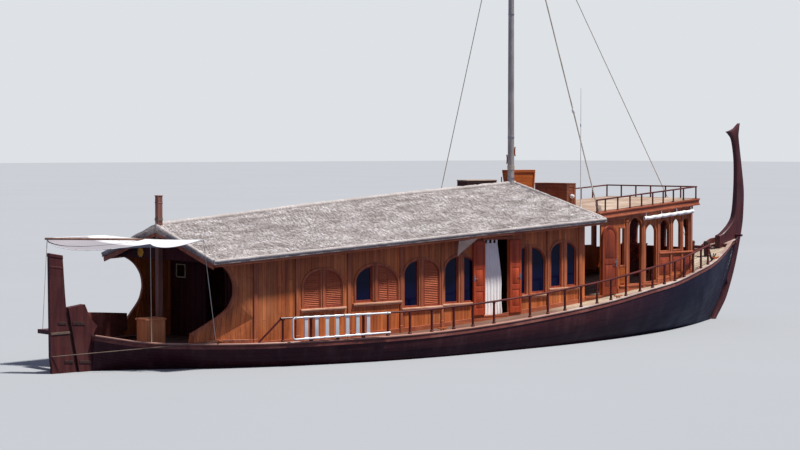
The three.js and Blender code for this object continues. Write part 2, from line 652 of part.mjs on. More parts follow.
// Handrails on the gunwale
const RAIL_POSTS = [
  -6940, -6250, -5550, -4860, -4160, -3500, -2810, -2090, -1430, -680, 650, 1340, 2020, 2690, 3380, 4010,
  4720, 5430, 6100, 6780, 7420, 8020, 8660, 9270, 9870,
];
const RAIL_H = 600;
const railY = (x) => halfBeam(x) - 30;
let handrail = loft([-7000, ...RAIL_POSTS.slice(1), 10000].map((x) => {
  const y = -railY(x);
  const z = sheerZ(x) + RAIL_H;
  return [[x, y - 35, z - 45], [x, y + 35, z - 45], [x, y + 35, z], [x, y - 35, z]];
}));
for (const x of RAIL_POSTS) {
  const y = -railY(x);
  handrail = handrail.add(box(x - 28, x + 28, y - 25, y + 25, sheerZ(x) - 40, sheerZ(x) + RAIL_H - 20));
}
handrail = handrail.subtract(belowRail);
node('handrail_stbd', handrail, C.trim, 0.5);
node('handrail_port', mirrorY(handrail), C.trim, 0.5);

// Boarding ladder, stowed on its side outside the starboard rail
const LADDER = { a: [-6770, -2563], run: [2580, -650], low: 670, high: 1200, r: 22, tread: 96, thick: 9 };
const runLength = Math.hypot(...LADDER.run);
const outward = [LADDER.run[1] / runLength, -LADDER.run[0] / runLength];
const railReach = Math.max(...RAIL_POSTS.map((x) => (
  (x - LADDER.a[0]) * outward[0] + (-railY(x) - 35 - LADDER.a[1]) * outward[1])));
const ladderOff = railReach + LADDER.r + GAP;
const ladderAt = (t, z) => [
  LADDER.a[0] + LADDER.run[0] * t + outward[0] * ladderOff,
  LADDER.a[1] + LADDER.run[1] * t + outward[1] * ladderOff,
  z,
];
let ladder = rod(ladderAt(0, LADDER.high), ladderAt(1, LADDER.high + 30), LADDER.r, 12)
  .add(rod(ladderAt(0, LADDER.low), ladderAt(1, LADDER.low + 70), LADDER.r, 12));
const TREADS = [0, 0.135, 0.24, 0.345, 0.45, 0.555, 0.66, 0.77];
TREADS.forEach((t) => {
  const z0 = LADDER.low + 70 * t;
  const z1 = LADDER.high + 30 * t;
  if (t === 0) {
    ladder = ladder.add(rod(ladderAt(t, z0), ladderAt(t, z1), LADDER.r, 8));
    return;
  }
  const along = LADDER.tread / 2 / runLength;
  ladder = ladder.add(loft([z0, z1].map((z) => [[-1, -1], [1, -1], [1, 1], [-1, 1]].map(([a, b]) => {
    const [x, y] = ladderAt(t + a * along, z);
    return [x + b * outward[0] * LADDER.thick, y + b * outward[1] * LADDER.thick, z];
  })), [0, 1]));
});
node('boarding_ladder', ladder, C.metal, 0.35, 1);

// Low rail round the sun deck
const sunEdge = (x) => lerp(SUN_AFT_Y, SUN_FORE_Y, (x - ROOF_EAVE_X) / (SUN_X[1] - ROOF_EAVE_X));
const sunY = (x) => sunEdge(x) - 40;
const SUN_POSTS = [4430, 4800, 5350, 5900, 6430, 6940, 7430, 7910, 8390, 8990];
let sunRail = null;
for (const side of [-1, 1]) {
  const bar = loft([4400, 9030].map((x) => {
    const y = side * sunY(x);
    const z = sunTop(x) + SUN_RAIL;
    return [[x, y - 25, z - 40], [x, y + 25, z - 40], [x, y + 25, z], [x, y - 25, z]];
  }));
  sunRail = sunRail ? sunRail.add(bar) : bar;
  for (const x of SUN_POSTS) {
    const y = side * sunY(x);
    sunRail = sunRail.add(box(x - 20, x + 20, y - 20, y + 20, sunTop(x) - 20, sunTop(x) + SUN_RAIL - 20));
  }
}
const foreZ = sunTop(9000) + SUN_RAIL;
sunRail = sunRail.add(box(8960, 9030, -sunY(9000), sunY(9000), foreZ - 40, foreZ));
for (const y of [-1200, -600, 0, 600, 1200]) {
  sunRail = sunRail.add(box(8975, 9015, y - 20, y + 20, 3700, foreZ - 20));
}
sunRail = sunRail.subtract(sunSlab(0, GAP, 0));
node('sun_deck_rail', sunRail, C.trim, 0.5);

// Mast and what stands by it
const mast = rod([MAST_X, 0, 0], [MAST_X, 0, MAST_TOP], MAST_R[0], 24, MAST_R[1]).subtract(belowDeck);
node('mast', mast, C.spar, 0.6);
const sunTopFit = sunSlab(500, GAP, 0);
const mastCase = sidePlate([[3330, 3000], [4060, 3000], [4190, 4690], [3240, 4690]], ...CASE_Y)
  .subtract(sunTopFit).subtract(roofSolid(GAP, GAP, 0.5));
node('mast_case', keepLargest(mastCase), C.trim, 0.5);
const locker = box(4710, 5070, -630, 630, 3300, 4290).subtract(sunTopFit)
  .subtract(box(4750, 5030, -590, 590, 3640, 4400));
node('deck_locker', locker, C.timber, 0.5);
node('deck_locker_lid', box(4695, 5085, -645, 645, 4290 + GAP, 4320), C.trim, 0.5);
const hatch = box(1600, 2740, 230, 600, 3700, 4420).subtract(roofSolid(GAP, GAP, 0));
const hatchAll = hatch.decompose();
const hatchTop = hatchAll.reduce((a, b) => (b.boundingBox().max[2] > a.boundingBox().max[2] ? b : a));
node('roof_hatch', hatchTop, C.timber, 0.55);
const antenna = rod([5200, -720, 3400], [5200, -720, 7060], 14, 10, 6).subtract(sunTopFit);
node('antenna', antenna, C.white, 0.4);

// Main stays
const mastFit = rod([MAST_X, 0, 0], [MAST_X, 0, MAST_TOP + 10], MAST_R[0] + GAP, 24, MAST_R[1] + GAP);
function stay(foot, z, r = STAY_R) {
  return rod([MAST_X, 0, z], foot, r, 8).subtract(mastFit);
}
const foreStay = stay([11100, 0, 1900], 13480).subtract(under(sheerZ, -DECK_DROP + GAP));
node('fore_stay', keepLargest(foreStay), C.rope, 0.6);
node('stay_stbd', keepLargest(stay([4590, -2085, 3300], 13400, 20).subtract(sunTopFit)), C.rope, 0.6);
const portShroud = stay([2400, 3200, 900], 13440).subtract(belowRail);
node('shroud_port', keepLargest(portShroud), C.rope, 0.6);

// Aft deck box and its lid
const deckBox = box(-9570, -9050, -400, 30, 300, 1150).subtract(belowDeck)
  .subtract(box(-9540, -9080, -370, 0, 620, 1400));
node('aft_box', deckBox, C.trim, 0.5);
node('aft_box_lid', box(-9605, -9020, -435, 65, 1150 + GAP, 1190), C.trim, 0.5);

// Steering wheel and its console
const console = box(8250, 8550, -260, 260, 1000, 2450).subtract(belowDeck);
node('helm_console', console, C.timber, 0.5);
const WHEEL = { x: 8130, z: 2260, r: 330 };
const rim = new THREE.TorusGeometry(WHEEL.r, 18, 8, 32);
rim.rotateY(Math.PI / 2);
rim.translate(WHEEL.x, 0, WHEEL.z);
let wheel = solid(rim).add(rod([WHEEL.x - 30, 0, WHEEL.z], [8250 - PIN_GAP, 0, WHEEL.z], 30, 12))
  .add(rod([WHEEL.x - 35, 0, WHEEL.z], [WHEEL.x + 35, 0, WHEEL.z], 60, 16));
for (let i = 0; i < 6; i += 1) {
  const a = (i * Math.PI) / 3;
  const tip = WHEEL.r + 110;
  const end = [WHEEL.x, Math.sin(a) * tip, WHEEL.z + Math.cos(a) * tip];
  wheel = wheel.add(rod([WHEEL.x, 0, WHEEL.z], end, 13, 8));
}
node('helm_wheel', wheel, C.trim, 0.4);

// Awning over the stern on a slanting spar
const AWNING = { a: [-11100, 1700, 3135], d: [-9200, 2000, 3140], b: [-9220, -2250, 3180], m: [-9850, -970, 3050] };
const SPAR = [[-9005, 90, 3090], [-11150, 1690, 3120]];
const spar = rod([-8940, 41.5, 3089.1], SPAR[1], 28, 10).subtract(postBore);
node('awning_spar', keepLargest(spar), C.spar, 0.6);
const rows = 8;
const cols = 5;
function awningPoint(i, j) {
  const s = i / rows;
  const t = j / cols;
  const aft = [0, 1, 2].map((k) => lerp(AWNING.a[k], AWNING.m[k], s));
  const fore = [0, 1, 2].map((k) => lerp(AWNING.d[k], AWNING.b[k], s));
  const sag = 4 * s * (1 - s) * (150 * (1 - t) + 40 * t);
  return [lerp(aft[0], fore[0], t), lerp(aft[1], fore[1], t), lerp(aft[2], fore[2], t) - sag];
}
const awning = loft(Array.from({ length: rows + 1 }, (_, i) => {
  const top = Array.from({ length: cols + 1 }, (_v, j) => awningPoint(i, j));
  const low = top.map(([x, y, z]) => [x, y, z - 14]).reverse();
  return [...top, ...low];
}), [0, 2]).subtract(rod([-9005, 90, 3090], [-11450, 1913.8, 3124.2], 28 + GAP, 10));
node('awning', keepLargest(awning), C.cloth, 0.9);

// Soft goods: curtain, pennant and rolled side awning
const curtain = box(170, 860, -1960, -1930, 830, 2950).add(box(170, 860, -WALL_Y + WALL + GAP, -1930, 2890, 2950));
node('curtain', curtain, C.white, 0.9);
const pennant = sidePlate([[-1120, eaveZ(-1120) - 40], [-330, eaveZ(-330) - 40], [-1000, 2580]], -2400, -2390);
node('pennant', pennant.subtract(roofSolid(GAP, 0, 0)), C.cloth, 0.9);
// hung from the edge of the sun deck by short straps
const ROLL = { x0: 6520, x1: 8820, r: 55, inset: 14, drop: 95 };
const rollAt = (x) => [x, -sunEdge(x) + ROLL.inset, sunTop(x) - SUN_THICK - ROLL.drop - ROLL.r];
let roll = rod(rollAt(ROLL.x0), rollAt(ROLL.x1), ROLL.r, 12);
for (const t of [0.04, 0.35, 0.66, 0.96]) {
  const [x, y, z] = rollAt(lerp(ROLL.x0, ROLL.x1, t));
  roll = roll.add(box(x - 20, x + 20, y - 8, y + 8, z, z + ROLL.r + ROLL.drop + 20));
}
node('rolled_awning', roll.subtract(sunSlab(GAP, 0, 20)), C.white, 0.9);

// Grapnel standing on the foredeck, its head leaning on the end of the starboard rail
const ANCHOR = { top: [9975, -1400, 2470], foot: [10740, -950], r: 26, arm: 210 };
const anchorFoot = [...ANCHOR.foot, deckZ(ANCHOR.foot[0]) + 18];
let anchor = rod(ANCHOR.top, anchorFoot, ANCHOR.r, 10);
anchor = anchor.add(rod(ANCHOR.top, [ANCHOR.top[0] - 50, ANCHOR.top[1] + 5, ANCHOR.top[2] + 40], 36, 10));
for (const [dx, dy] of [[1, 0.3], [-1, -0.3], [0.3, -1], [-0.3, 1]]) {
  const tip = [anchorFoot[0] + dx * ANCHOR.arm * 0.6, anchorFoot[1] + dy * ANCHOR.arm * 0.6, anchorFoot[2] + ANCHOR.arm];
  anchor = anchor.add(rod(anchorFoot, tip, 22, 8, 16));
}
node('anchor', anchor.subtract(belowDeck), C.metal, 0.6, 1);

export default group;
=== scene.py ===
import math
import random

import bmesh
import bpy
import numpy as np
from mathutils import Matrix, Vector


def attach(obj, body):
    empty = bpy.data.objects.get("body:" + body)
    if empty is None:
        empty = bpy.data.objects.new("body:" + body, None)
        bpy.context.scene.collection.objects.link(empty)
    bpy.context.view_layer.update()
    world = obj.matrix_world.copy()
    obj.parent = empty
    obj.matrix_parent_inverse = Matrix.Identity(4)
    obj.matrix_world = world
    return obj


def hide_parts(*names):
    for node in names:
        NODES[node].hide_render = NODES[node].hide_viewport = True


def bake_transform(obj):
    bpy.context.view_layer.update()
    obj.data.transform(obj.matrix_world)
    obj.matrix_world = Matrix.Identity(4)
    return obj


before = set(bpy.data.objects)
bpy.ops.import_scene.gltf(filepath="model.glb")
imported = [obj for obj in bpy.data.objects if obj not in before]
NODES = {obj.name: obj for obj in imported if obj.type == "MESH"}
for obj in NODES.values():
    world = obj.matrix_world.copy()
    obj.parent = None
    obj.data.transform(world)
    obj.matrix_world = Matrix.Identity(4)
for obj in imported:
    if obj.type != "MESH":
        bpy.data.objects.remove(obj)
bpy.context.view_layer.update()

chance = random.Random(7)

# Lengths are in metres. +X points to the bow, +Y to port, +Z up, and Z 0 is the waterline.

# The camera and the light

CAMERA_AT = (-37.553, -41.837, 5.34)
CAMERA_TURN = (87.849, 0.0, -41.082)
LENS, FILM_WIDTH, FAR_CLIP = 92.25, 36, 2000
SUN_TRAVEL = (-0.28, 0.36, -1.0)
SUN_POWER, SUN_WIDTH = 4.7, 5.0
SUN_COLOR = (1.0, 0.965, 0.91)
ROOM_COLOR, ROOM_LIGHT = (196, 204, 240), 0.36
BACKDROP_COLOR = (222, 226, 230)


def tint(red, green, blue):
    """A colour from 0 to 255 numbers, as the light sees it."""
    def channel(value):
        value /= 255
        return value / 12.92 if value <= 0.04045 else ((value + 0.055) / 1.055) ** 2.4
    return (channel(red), channel(green), channel(blue), 1.0)


def into_scene(name, data):
    """A new object of the scene."""
    made = bpy.data.objects.new(name, data)
    bpy.context.scene.collection.objects.link(made)
    return made


def set_camera():
    lens = bpy.data.cameras.new("camera")
    lens.lens = LENS
    lens.sensor_width = FILM_WIDTH
    lens.clip_end = FAR_CLIP
    camera = into_scene("camera", lens)
    camera.location = CAMERA_AT
    camera.rotation_euler = [math.radians(turn) for turn in CAMERA_TURN]
    bpy.context.scene.camera = camera


def set_light():
    """A broad sun, a dim blue room light, and a paler backdrop that only the camera sees."""
    lamp = bpy.data.lights.new("sun", "SUN")
    lamp.energy = SUN_POWER
    lamp.angle = math.radians(SUN_WIDTH)
    lamp.color = SUN_COLOR
    into_scene("sun", lamp).rotation_euler = Vector(SUN_TRAVEL).to_track_quat("-Z", "Y").to_euler()
    world = bpy.data.worlds.new("room")
    bpy.context.scene.world = world
    world.use_nodes = True
    tree = world.node_tree
    tree.nodes.clear()
    light = put(tree, "Background", Color=tint(*ROOM_COLOR), Strength=ROOM_LIGHT)
    backdrop = put(tree, "Background", Color=tint(*BACKDROP_COLOR), Strength=1.0)
    put(tree, "OutputWorld", Surface=thrown_or_seen(tree, light, backdrop))
    bpy.context.scene.view_settings.view_transform = "Standard"


# Node trees


def put(tree, kind, settings=None, **wires):
    """Adds a shader node; i0, i1 and so on name a socket by its place."""
    node = tree.nodes.new("ShaderNode" + kind)
    for key, value in (settings or {}).items():
        setattr(node, key, value)
    for key, value in wires.items():
        socket = node.inputs[int(key[1:])] if key[1:].isdigit() else node.inputs[key.replace("_", " ")]
        if isinstance(value, bpy.types.NodeSocket):
            tree.links.new(value, socket)
        else:
            socket.default_value = value
    return node


def reckon(tree, operation, a, b=0.0):
    """One sum of the Math node."""
    return put(tree, "Math", {"operation": operation}, i0=a, i1=b).outputs[0]


def times(tree, a, b):
    return reckon(tree, "MULTIPLY", a, b)


def plus(tree, a, b):
    return reckon(tree, "ADD", a, b)


def blend(tree, share, a, b, way="MIX"):
    """Two colours in one."""
    settings = {"data_type": "RGBA", "blend_type": way}
    return put(tree, "Mix", settings, i0=share, i6=a, i7=b).outputs[2]


def spread(tree, value, low, high, new_low=0.0, new_high=1.0):
    """A value drawn out from one span to another and kept inside it."""
    return put(tree, "MapRange", i0=value, i1=low, i2=high, i3=new_low, i4=new_high).outputs[0]


def axes(tree, place):
    """The three numbers of a place."""
    return put(tree, "SeparateXYZ", i0=place).outputs


def stretch(tree, place, along, across, deep):
    scale = (along, across, deep)
    return put(tree, "VectorMath", {"operation": "MULTIPLY"}, i0=place, i1=scale).outputs[0]


def mottle(tree, place, scale, detail=3.0, rough=0.55, twist=0.0):
    return put(tree, "TexNoise", Vector=place, Scale=scale, Detail=detail, Roughness=rough,
               Distortion=twist).outputs[0]


def thrown_or_seen(tree, thrown, seen):
    """One shader for the light on the boat, and another for what the camera sees."""
    rays = put(tree, "LightPath")
    return put(tree, "MixShader", i0=rays.outputs["Is Camera Ray"], i1=thrown.outputs[0],
               i2=seen.outputs[0]).outputs[0]


def effect(name, takes, gives):
    """A node group of a place and named values, and its inner ends."""
    tree = bpy.data.node_groups.new(name, "ShaderNodeTree")
    tree.interface.new_socket("Place", in_out="INPUT", socket_type="NodeSocketVector")
    for label, value in takes.items():
        kind = "NodeSocketColor" if isinstance(value, tuple) else "NodeSocketFloat"
        tree.interface.new_socket(label, in_out="INPUT", socket_type=kind).default_value = value
    for label in gives:
        kind = "NodeSocketColor" if label == "Color" else "NodeSocketFloat"
        tree.interface.new_socket(label, in_out="OUTPUT", socket_type=kind)
    return tree, tree.nodes.new("NodeGroupInput").outputs, tree.nodes.new("NodeGroupOutput").inputs


def place_effect(tree, group, **wires):
    return put(tree, "Group", {"node_tree": group}, **wires).outputs


def make_grain():
    """Timber with its fibre along the first axis."""
    takes = {"Pale": (1, 1, 1, 1), "Deep": (0, 0, 0, 1), "Fineness": 1.0}
    tree, takes, gives = effect("timber grain", takes, ["Color", "Height", "Dryness"])
    place = put(tree, "VectorMath", {"operation": "SCALE"}, i0=takes["Place"],
                Scale=takes["Fineness"]).outputs[0]
    figure = mottle(tree, stretch(tree, place, 0.7, 9.0, 9.0), 1.0, 5.0, 0.6, 0.6)
    fibre = mottle(tree, stretch(tree, place, 4.0, 130.0, 130.0), 1.0, 2.0, 0.5)
    patch = mottle(tree, place, 1.3, 3.0, 0.6)
    both = plus(tree, times(tree, figure, 0.6), times(tree, fibre, 0.25))
    share = spread(tree, plus(tree, both, times(tree, patch, 0.25)), 0.40, 0.68)
    tree.links.new(blend(tree, share, takes["Deep"], takes["Pale"]), gives["Color"])
    tree.links.new(plus(tree, times(tree, fibre, 0.6), times(tree, figure, 0.4)), gives["Height"])
    tree.links.new(spread(tree, patch, 0.3, 0.7), gives["Dryness"])
    return tree


def make_boards():
    """Boards laid side by side along the second axis, with butts along the first."""
    takes = {"Width": 0.14, "Length": 3.0, "Gap": 0.006}
    tree, takes, gives = effect("board seams", takes, ["Seam", "Tone"])
    parts = axes(tree, takes["Place"])
    across = reckon(tree, "DIVIDE", parts[1], takes["Width"])
    row = reckon(tree, "FLOOR", across)
    jog = put(tree, "TexWhiteNoise", {"noise_dimensions": "1D"}, W=row).outputs[0]
    along = plus(tree, reckon(tree, "DIVIDE", parts[0], takes["Length"]), times(tree, jog, 3.0))
    butt = reckon(tree, "FLOOR", along)
    spot = put(tree, "CombineXYZ", i0=row, i1=butt).outputs[0]
    tone = put(tree, "TexWhiteNoise", {"noise_dimensions": "2D"}, Vector=spot).outputs[0]
    edge = times(tree, reckon(tree, "PINGPONG", across, 0.5), takes["Width"])
    end = times(tree, reckon(tree, "PINGPONG", along, 0.5), takes["Length"])
    near_edge = reckon(tree, "MINIMUM", reckon(tree, "ABSOLUTE", edge), reckon(tree, "ABSOLUTE", end))
    seam = spread(tree, near_edge, times(tree, takes["Gap"], 0.2), takes["Gap"], 1.0, 0.0)
    tree.links.new(seam, gives["Seam"])
    tree.links.new(tone, gives["Tone"])
    return tree


def make_weather():
    """Patches and streaks where sun and salt have been at work."""
    takes = {"Size": 1.0, "Start": 0.5, "End": 0.7}
    tree, takes, gives = effect("weathering", takes, ["Patch", "Streak"])
    patch = mottle(tree, takes["Place"], takes["Size"], 6.0, 0.62)
    streak = mottle(tree, stretch(tree, takes["Place"], 5.0, 5.0, 0.5), takes["Size"], 4.0, 0.6)
    for value, gate in ((patch, "Patch"), (streak, "Streak")):
        tree.links.new(spread(tree, value, takes["Start"], takes["End"]), gives[gate])
    return tree


def make_weave():
    """Crossing threads of plain cloth."""
    tree, takes, gives = effect("cloth weave", {"Threads": 700.0}, ["Height", "Tone"])
    warp, weft = (put(tree, "TexWave", {"bands_direction": way}, Vector=takes["Place"],
                      Scale=takes["Threads"]).outputs[1] for way in "XZ")
    tree.links.new(plus(tree, times(tree, warp, 0.5), times(tree, weft, 0.5)), gives["Height"])
    tree.links.new(mottle(tree, takes["Place"], 2.2, 5.0, 0.6), gives["Tone"])
    return tree


def make_wear():
    """Fine marks of handling on metal and gloss paint."""
    tree, takes, gives = effect("handling wear", {"Size": 30.0}, ["Scuff", "Film"])
    scuff = mottle(tree, stretch(tree, takes["Place"], 1.0, 1.0, 6.0), takes["Size"], 6.0, 0.7)
    film = mottle(tree, takes["Place"], 2.5, 4.0, 0.6)
    tree.links.new(spread(tree, scuff, 0.4, 0.75), gives["Scuff"])
    tree.links.new(spread(tree, film, 0.35, 0.7), gives["Film"])
    return tree


GRAIN, BOARDS, WEATHER, WEAVE, WEAR = make_grain(), make_boards(), make_weather(), make_weave(), make_wear()

# Finishes

CAULKING = (0.006, 0.004, 0.004, 1)


def bare(name):
    """A material with nothing in it yet, its node tree, and the place of a point on the boat."""
    material = bpy.data.materials.new(name)
    material.use_nodes = True
    tree = material.node_tree
    tree.nodes.clear()
    return material, tree, put(tree, "TexCoord").outputs["Object"]


def finish(material, color, roughness, height, depth, strength, **plain):
    """Leads colour, roughness and height to a material's shader; plain are the shader's own values."""
    tree = material.node_tree
    bump = put(tree, "Bump", Height=height, Distance=depth, Strength=strength).outputs[0]
    shader = put(tree, "BsdfPrincipled", Base_Color=color, Roughness=roughness, Normal=bump, **plain)
    put(tree, "OutputMaterial", Surface=shader.outputs[0])
    return material


def turned(tree, place, order):
    """The place with its axes in another order, such as zxy for grain that stands up."""
    parts = axes(tree, place)
    picks = [parts["xyz".index(axis)] for axis in order]
    return put(tree, "CombineXYZ", i0=picks[0], i1=picks[1], i2=picks[2]).outputs[0]


def greyer_aft(tree, place, shade, aft, old_shade):
    """A colour that gives way to another over a stretch of the boat's length."""
    return blend(tree, spread(tree, axes(tree, place)[0], aft[1], aft[2]), old_shade, shade)


def timber(name, pale, deep, order="xyz", gloss=0.42, boards=None, worn=None, wear=(0.52, 0.7), fineness=1.0,
           varnish=0.12, aft=None):
    """Sawn timber. boards is their width, length and gap; worn is the colour of patches where it is
    weathered; aft is a colour for the boat's aft end, and the stretch over which it gives way."""
    material, tree, place = bare(name)
    along, pale, deep = turned(tree, place, order), tint(*pale), tint(*deep)
    grain = place_effect(tree, GRAIN, Place=along, Pale=pale, Deep=deep, Fineness=fineness)
    age = place_effect(tree, WEATHER, Place=place, Size=0.9, Start=wear[0], End=wear[1])
    shade, height = grain["Color"], grain["Height"]
    if worn:
        shade = blend(tree, times(tree, age["Patch"], 0.75), shade, tint(*worn))
    shade = blend(tree, times(tree, age["Streak"], 0.35), shade, deep)
    if boards:
        width, length, gap = boards
        laid = place_effect(tree, BOARDS, Place=along, Width=width, Length=length, Gap=gap)
        tone = spread(tree, laid["Tone"], 0.0, 1.0, 0.72, 1.18)
        grey = put(tree, "CombineColor", i0=tone, i1=tone, i2=tone).outputs[0]
        shade = blend(tree, 1.0, shade, grey, "MULTIPLY")
        shade = blend(tree, times(tree, laid["Seam"], 0.85), shade, CAULKING)
        height = reckon(tree, "SUBTRACT", times(tree, height, 0.3), times(tree, laid["Seam"], 3.0))
    if aft:
        shade = greyer_aft(tree, place, shade, aft, blend(tree, 0.8, shade, tint(*aft[0])))
    dry = plus(tree, times(tree, grain["Dryness"], 0.16), times(tree, age["Patch"], 0.18))
    return finish(material, shade, plus(tree, dry, gloss), height, 0.0012, 0.7, Coat_Weight=varnish,
                  Coat_Roughness=0.25, Specular_IOR_Level=0.3)


def cloth(name, pale, soiled, threads=420.0, depth=0.0006, aft=None):
    """Plain woven cloth or laid rope with a little dirt in it; where a colour for it is given, it turns
    greyer aft, as painted shade.
    """
    material, tree, place = bare(name)
    weave, soiled = place_effect(tree, WEAVE, Place=place, Threads=threads), tint(*soiled)
    shade = blend(tree, spread(tree, weave["Tone"], 0.45, 0.75), tint(*pale), soiled)
    # The greyer aft colour is painted shade.
    if aft:
        shade = greyer_aft(tree, place, shade, aft, tint(*aft[0]))
    shade = blend(tree, times(tree, weave["Height"], 0.12), shade, soiled)
    roughness = spread(tree, weave["Tone"], 0.3, 0.7, 0.82, 0.96)
    return finish(material, shade, roughness, weave["Height"], depth, 0.5, Sheen_Weight=0.25)


def metal(name, bright, dull, gloss, metallic=1.0):
    """Worn metal or hard paint."""
    material, tree, place = bare(name)
    wear = place_effect(tree, WEAR, Place=place, Size=24.0)
    scratches = place_effect(tree, WEAR, Place=place, Size=60.0)["Scuff"]
    shade = blend(tree, times(tree, wear["Film"], 0.7), tint(*bright), tint(*dull))
    roughness = plus(tree, times(tree, wear["Scuff"], 0.25), gloss)
    return finish(material, shade, roughness, scratches, 0.0003, 0.4, Metallic=metallic)


def thatch(name, pale, deep, aged):
    """Dry leaf, pale with age, with darker streaks and specks that are partly leaf tone and partly painted
    shade of the gaps between the strands, and broad aged patches.
    """
    material, tree, place = bare(name)
    deep = tint(*deep)
    strand = mottle(tree, stretch(tree, place, 34.0, 9.0, 16.0), 1.0, 3.0, 0.6)
    patch = mottle(tree, stretch(tree, place, 1.3, 3.4, 3.4), 1.0, 6.0, 0.66)
    speck = mottle(tree, stretch(tree, place, 6.0, 15.0, 15.0), 1.0, 3.0, 0.7)
    # The darker streaks, and the dark specks below, are partly leaf tone and partly painted shade in the gaps
    # between the strands.
    shade = blend(tree, spread(tree, strand, 0.36, 0.66), deep, tint(*pale))
    shade = blend(tree, times(tree, spread(tree, patch, 0.40, 0.64), 0.85), shade, tint(*aged))
    shade = blend(tree, times(tree, spread(tree, speck, 0.54, 0.70), 0.7), shade, deep)
    roughness = spread(tree, mottle(tree, place, 5.0), 0.3, 0.7, 0.84, 0.98)
    height = mottle(tree, stretch(tree, place, 60.0, 16.0, 30.0), 1.0, 3.0, 0.6)
    return finish(material, shade, roughness, height, 0.004, 0.5)


def hull_paint():
    """Dark oiled planks, plain near the water, with pale salt streaks, and a painted reflection of dark blue
    water towards the bow.
    """
    material, tree, place = bare("hull_paint")
    dark = tint(54, 24, 30)
    grain = place_effect(tree, GRAIN, Place=place, Pale=tint(88, 44, 46), Deep=dark, Fineness=0.8)
    salt = place_effect(tree, WEATHER, Place=place, Size=0.7, Start=0.5, End=0.72)
    dry = place_effect(tree, WEATHER, Place=place, Size=1.4, Start=0.4, End=0.7)
    x, _, z = axes(tree, place)
    low = spread(tree, plus(tree, z, times(tree, salt["Patch"], 0.5)), 0.1, 1.2, 1.0, 0.0)
    shade = blend(tree, times(tree, low, 0.5), grain["Color"], dark)
    shade = blend(tree, times(tree, salt["Streak"], 0.22), shade, tint(124, 92, 94))
    # Painted reflection: the bow is blended into dark blue, the colour of the water it reflects.
    shade = blend(tree, spread(tree, x, 3.0, 8.0, 0.0, 0.95), shade, tint(10, 10, 38))
    roughness = plus(tree, times(tree, dry["Patch"], 0.2), 0.34)
    return finish(material, shade, roughness, grain["Height"], 0.002, 0.5, Coat_Weight=0.06,
                  Coat_Roughness=0.3, Specular_IOR_Level=0.22)


def window_glass():
    """Panes painted dark navy, as painted shade of the dark room behind them, slightly uneven."""
    material, tree, place = bare("window_glass")
    film = place_effect(tree, WEAR, Place=place, Size=6.0)["Film"]
    # The dark navy is painted shade of the room behind the glass.
    shade = blend(tree, times(tree, film, 0.4), tint(8, 10, 44), tint(16, 20, 62))
    roughness = plus(tree, times(tree, film, 0.08), 0.08)
    return finish(material, shade, roughness, mottle(tree, place, 2.0, 2.0), 0.002, 0.3, IOR=1.45,
                  Specular_IOR_Level=0.4)


HOUSE = timber("house_boards", (222, 128, 70), (160, 76, 40), "zxy", 0.44, (0.118, 5.0, 0.005),
               worn=(210, 130, 82))
CROSS_HOUSE = timber("house_boards_across", (150, 78, 62), (96, 42, 40), "zyx", 0.46, (0.118, 5.0, 0.006))
DARK_HOUSE = timber("dark_house_boards", (84, 28, 28), (48, 12, 16), "zyx", 0.7, (0.118, 5.0, 0.006),
                    varnish=0.0)
UPRIGHT = timber("upright_timber", (200, 118, 80), (140, 70, 46), "zxy", 0.4)
LEVEL = timber("level_timber", (196, 112, 76), (130, 62, 42), gloss=0.4)
ACROSS = timber("cross_timber", (172, 98, 78), (116, 58, 52), "yxz")
PALE_TRIM = timber("sill_timber", (222, 176, 146), (172, 112, 84), worn=(232, 200, 178))
SASH_WOOD = timber("sash_timber", (176, 84, 54), (126, 50, 36), "zxy", 0.36)
LOUVRE_WOOD = timber("louvre_timber", (206, 112, 70), (156, 68, 44), gloss=0.4, fineness=0.7)
DOOR = timber("door_timber", (200, 86, 48), (144, 50, 28), "zxy", 0.38, fineness=0.8)
DARK_DOOR = timber("dark_door_timber", (164, 74, 42), (112, 42, 24), "zxy", 0.38, fineness=0.8)
STEM_WOOD = timber("stem_timber", (102, 54, 54), (58, 30, 38), "zxy", worn=(82, 54, 64))
STERN_WOOD = timber("stern_timber", (100, 48, 44), (60, 26, 28), "zxy", 0.46, worn=(94, 54, 50))
RAIL_WOOD = timber("rail_timber", (112, 46, 38), (68, 23, 22), gloss=0.4, worn=(146, 84, 66),
                   wear=(0.6, 0.78))
STRAKE_WOOD = timber("strake_timber", (146, 84, 74), (96, 52, 50), worn=(168, 112, 100))
DECK_WOOD = timber("deck_planks", (206, 190, 168), (164, 142, 120), "xyz", 0.6, (0.092, 4.2, 0.008),
                   worn=(216, 204, 188), varnish=0.0, aft=((96, 56, 46), 2.2, 3.6))
# The cap's aft colour is partly the brown of the wood there and partly painted sunlight: it is kept lighter
# where the roof and awning shade the cap.
CAP_WOOD = timber("cap_timber", (196, 172, 158), (150, 120, 110), gloss=0.45, worn=(224, 210, 202),
                  wear=(0.45, 0.6), aft=((176, 122, 104), 0.6, 2.6))
BOX_WOOD = timber("box_timber", (192, 102, 38), (140, 64, 22), gloss=0.4)
